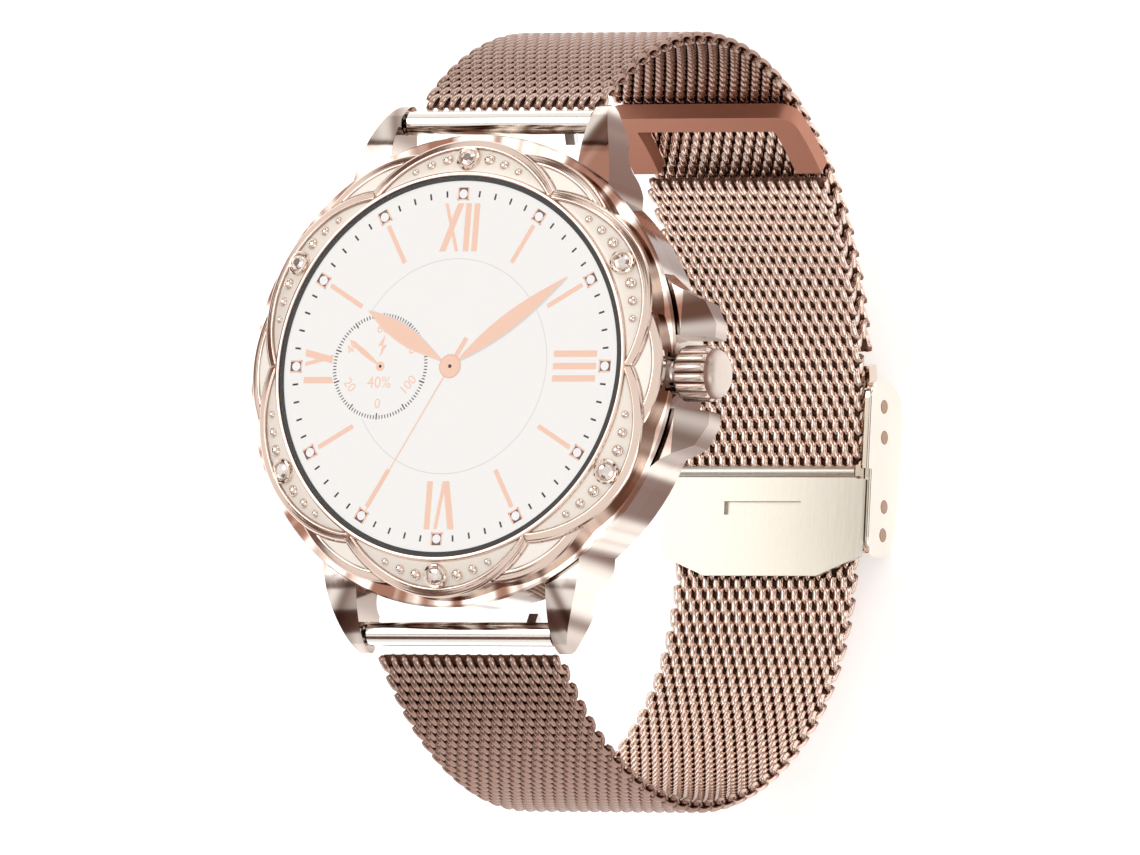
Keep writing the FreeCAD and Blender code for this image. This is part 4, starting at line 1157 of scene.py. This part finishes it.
# =====================================================================================
# Floor, light and camera
# =====================================================================================
def floor():
    """Level plain sheet under the clasp, far wider than the view; in metres."""
    half = 3.0
    count = 24
    line = np.linspace(-half, half, count)
    x, y = np.meshgrid(line, line, indexing="ij")
    points = np.stack([x, y, np.full_like(x, FLOOR_Z)], -1).reshape(-1, 3)
    mesh = bpy.data.meshes.new("floor")
    mesh.from_pydata(points.tolist(), [], grid_faces(count, count)[:, ::-1].tolist())
    piece = bpy.data.objects.new("floor", mesh)
    bpy.context.scene.collection.objects.link(piece)
    m = Material("pale_floor", Roughness=0.9, Emission_Strength=0.45)
    haze = m.noise((0.004, 0.004, 0.004))
    pale = m.blend(haze, (0.90, 0.90, 0.90), (0.94, 0.94, 0.94))
    m.feed("Base Color", pale)
    m.feed("Emission Color", pale)
    mesh.materials.append(m.material)


LIGHT_TARGET = (0, 0, -0.02)


def softbox(name, place, size, power):
    """A soft square light that points at the middle of the object."""
    lamp = bpy.data.lights.new(name, "AREA")
    lamp.shape = "RECTANGLE"
    lamp.size, lamp.size_y = size
    lamp.energy = power
    lamp.color = (1.0, 0.985, 0.965)
    item = bpy.data.objects.new(name, lamp)
    bpy.context.scene.collection.objects.link(item)
    item.location = place
    direction = Vector(LIGHT_TARGET) - Vector(place)
    item.rotation_euler = direction.to_track_quat("-Z", "Y").to_euler()


def card(name, corners):
    """A dark card outside the view, for dark reflections in the polished metal."""
    mesh = bpy.data.meshes.new(name)
    mesh.from_pydata(corners, [], [(0, 1, 2, 3)])
    piece = bpy.data.objects.new(name, mesh)
    bpy.context.scene.collection.objects.link(piece)
    m = Material("dark_card", Roughness=0.9)
    grain = m.noise((0.05, 0.05, 0.05))
    m.feed("Base Color", m.blend(grain, (0.115, 0.048, 0.032), (0.14, 0.06, 0.042)))
    mesh.materials.append(m.material)


CARD_DISTANCE = 5.0
CARD_AZIMUTHS = (8, 34, 66, 100, 132, 165, 200, 232, 262, 292, 318, 340)
CARD_FOOT = 4
VIEW_AZIMUTH = -17


def strip(name, azimuth, width, low, high):
    """A tall narrow card far round the object, given by where it stands and its elevations."""
    a = np.radians([azimuth - width / 2, azimuth + width / 2])
    e = np.radians([low, high])
    corners = []
    for i, j in ((0, 0), (1, 0), (1, 1), (0, 1)):
        level = CARD_DISTANCE * math.cos(e[j])
        corners.append((level * math.cos(a[i]), level * math.sin(a[i]), CARD_DISTANCE * math.sin(e[j])))
    card(name, corners)


def studio():
    """White surroundings, three soft lights, and cards that are lower where the camera looks over them."""
    world = bpy.data.worlds.new("studio")
    bpy.context.scene.world = world
    world.use_nodes = True
    background = world.node_tree.nodes["Background"]
    background.inputs["Color"].default_value = (1.0, 0.985, 0.97, 1)
    background.inputs["Strength"].default_value = 0.93
    softbox("key", (-0.45, 0.25, 0.85), (0.7, 0.7), 2.7)
    softbox("front", (0.75, -0.45, 0.55), (0.5, 0.5), 1.6)
    softbox("side", (0.35, 0.85, 0.45), (0.5, 0.4), 1.2)
    for index, azimuth in enumerate(CARD_AZIMUTHS):
        towards_view = math.cos(math.radians(azimuth - VIEW_AZIMUTH))
        top = 44 + 8 * (index % 4) if towards_view < 0.5 else 40
        strip("card_%d" % index, azimuth, 10 + 4 * (index % 3), CARD_FOOT, top)


FRAME_WIDTH = 98.28
SHIFT_RIGHT = 10.39
SHIFT_UP = -5.30
LENS = 800.0
SENSOR_WIDTH = 36.0
DIAL_MIDDLE = Vector((0, 0, 11.5))
VIEW_RIGHT = Vector((0.8834, 0.0772, -0.4622))
VIEW_UP = Vector((0.0, 0.9863, 0.165))


def camera():
    """Long lens on the dial's quarter: the view's axes are given in the watch's own frame."""
    right = VIEW_RIGHT.normalized()
    back = right.cross(VIEW_UP).normalized()
    up = back.cross(right)
    distance = FRAME_WIDTH * LENS / SENSOR_WIDTH
    middle = DIAL_MIDDLE + right * SHIFT_RIGHT + up * SHIFT_UP
    place = (middle + back * distance) * MM
    data = bpy.data.cameras.new("camera")
    data.lens = LENS
    data.clip_start = 0.1
    data.clip_end = 20.0
    item = bpy.data.objects.new("camera", data)
    bpy.context.scene.collection.objects.link(item)
    turn = Matrix((right, up, back)).transposed().to_4x4()
    item.matrix_world = Matrix.Translation(place) @ turn
    bpy.context.scene.camera = item


floor()
studio()
camera()
bpy.context.scene.view_settings.view_transform = "Standard"
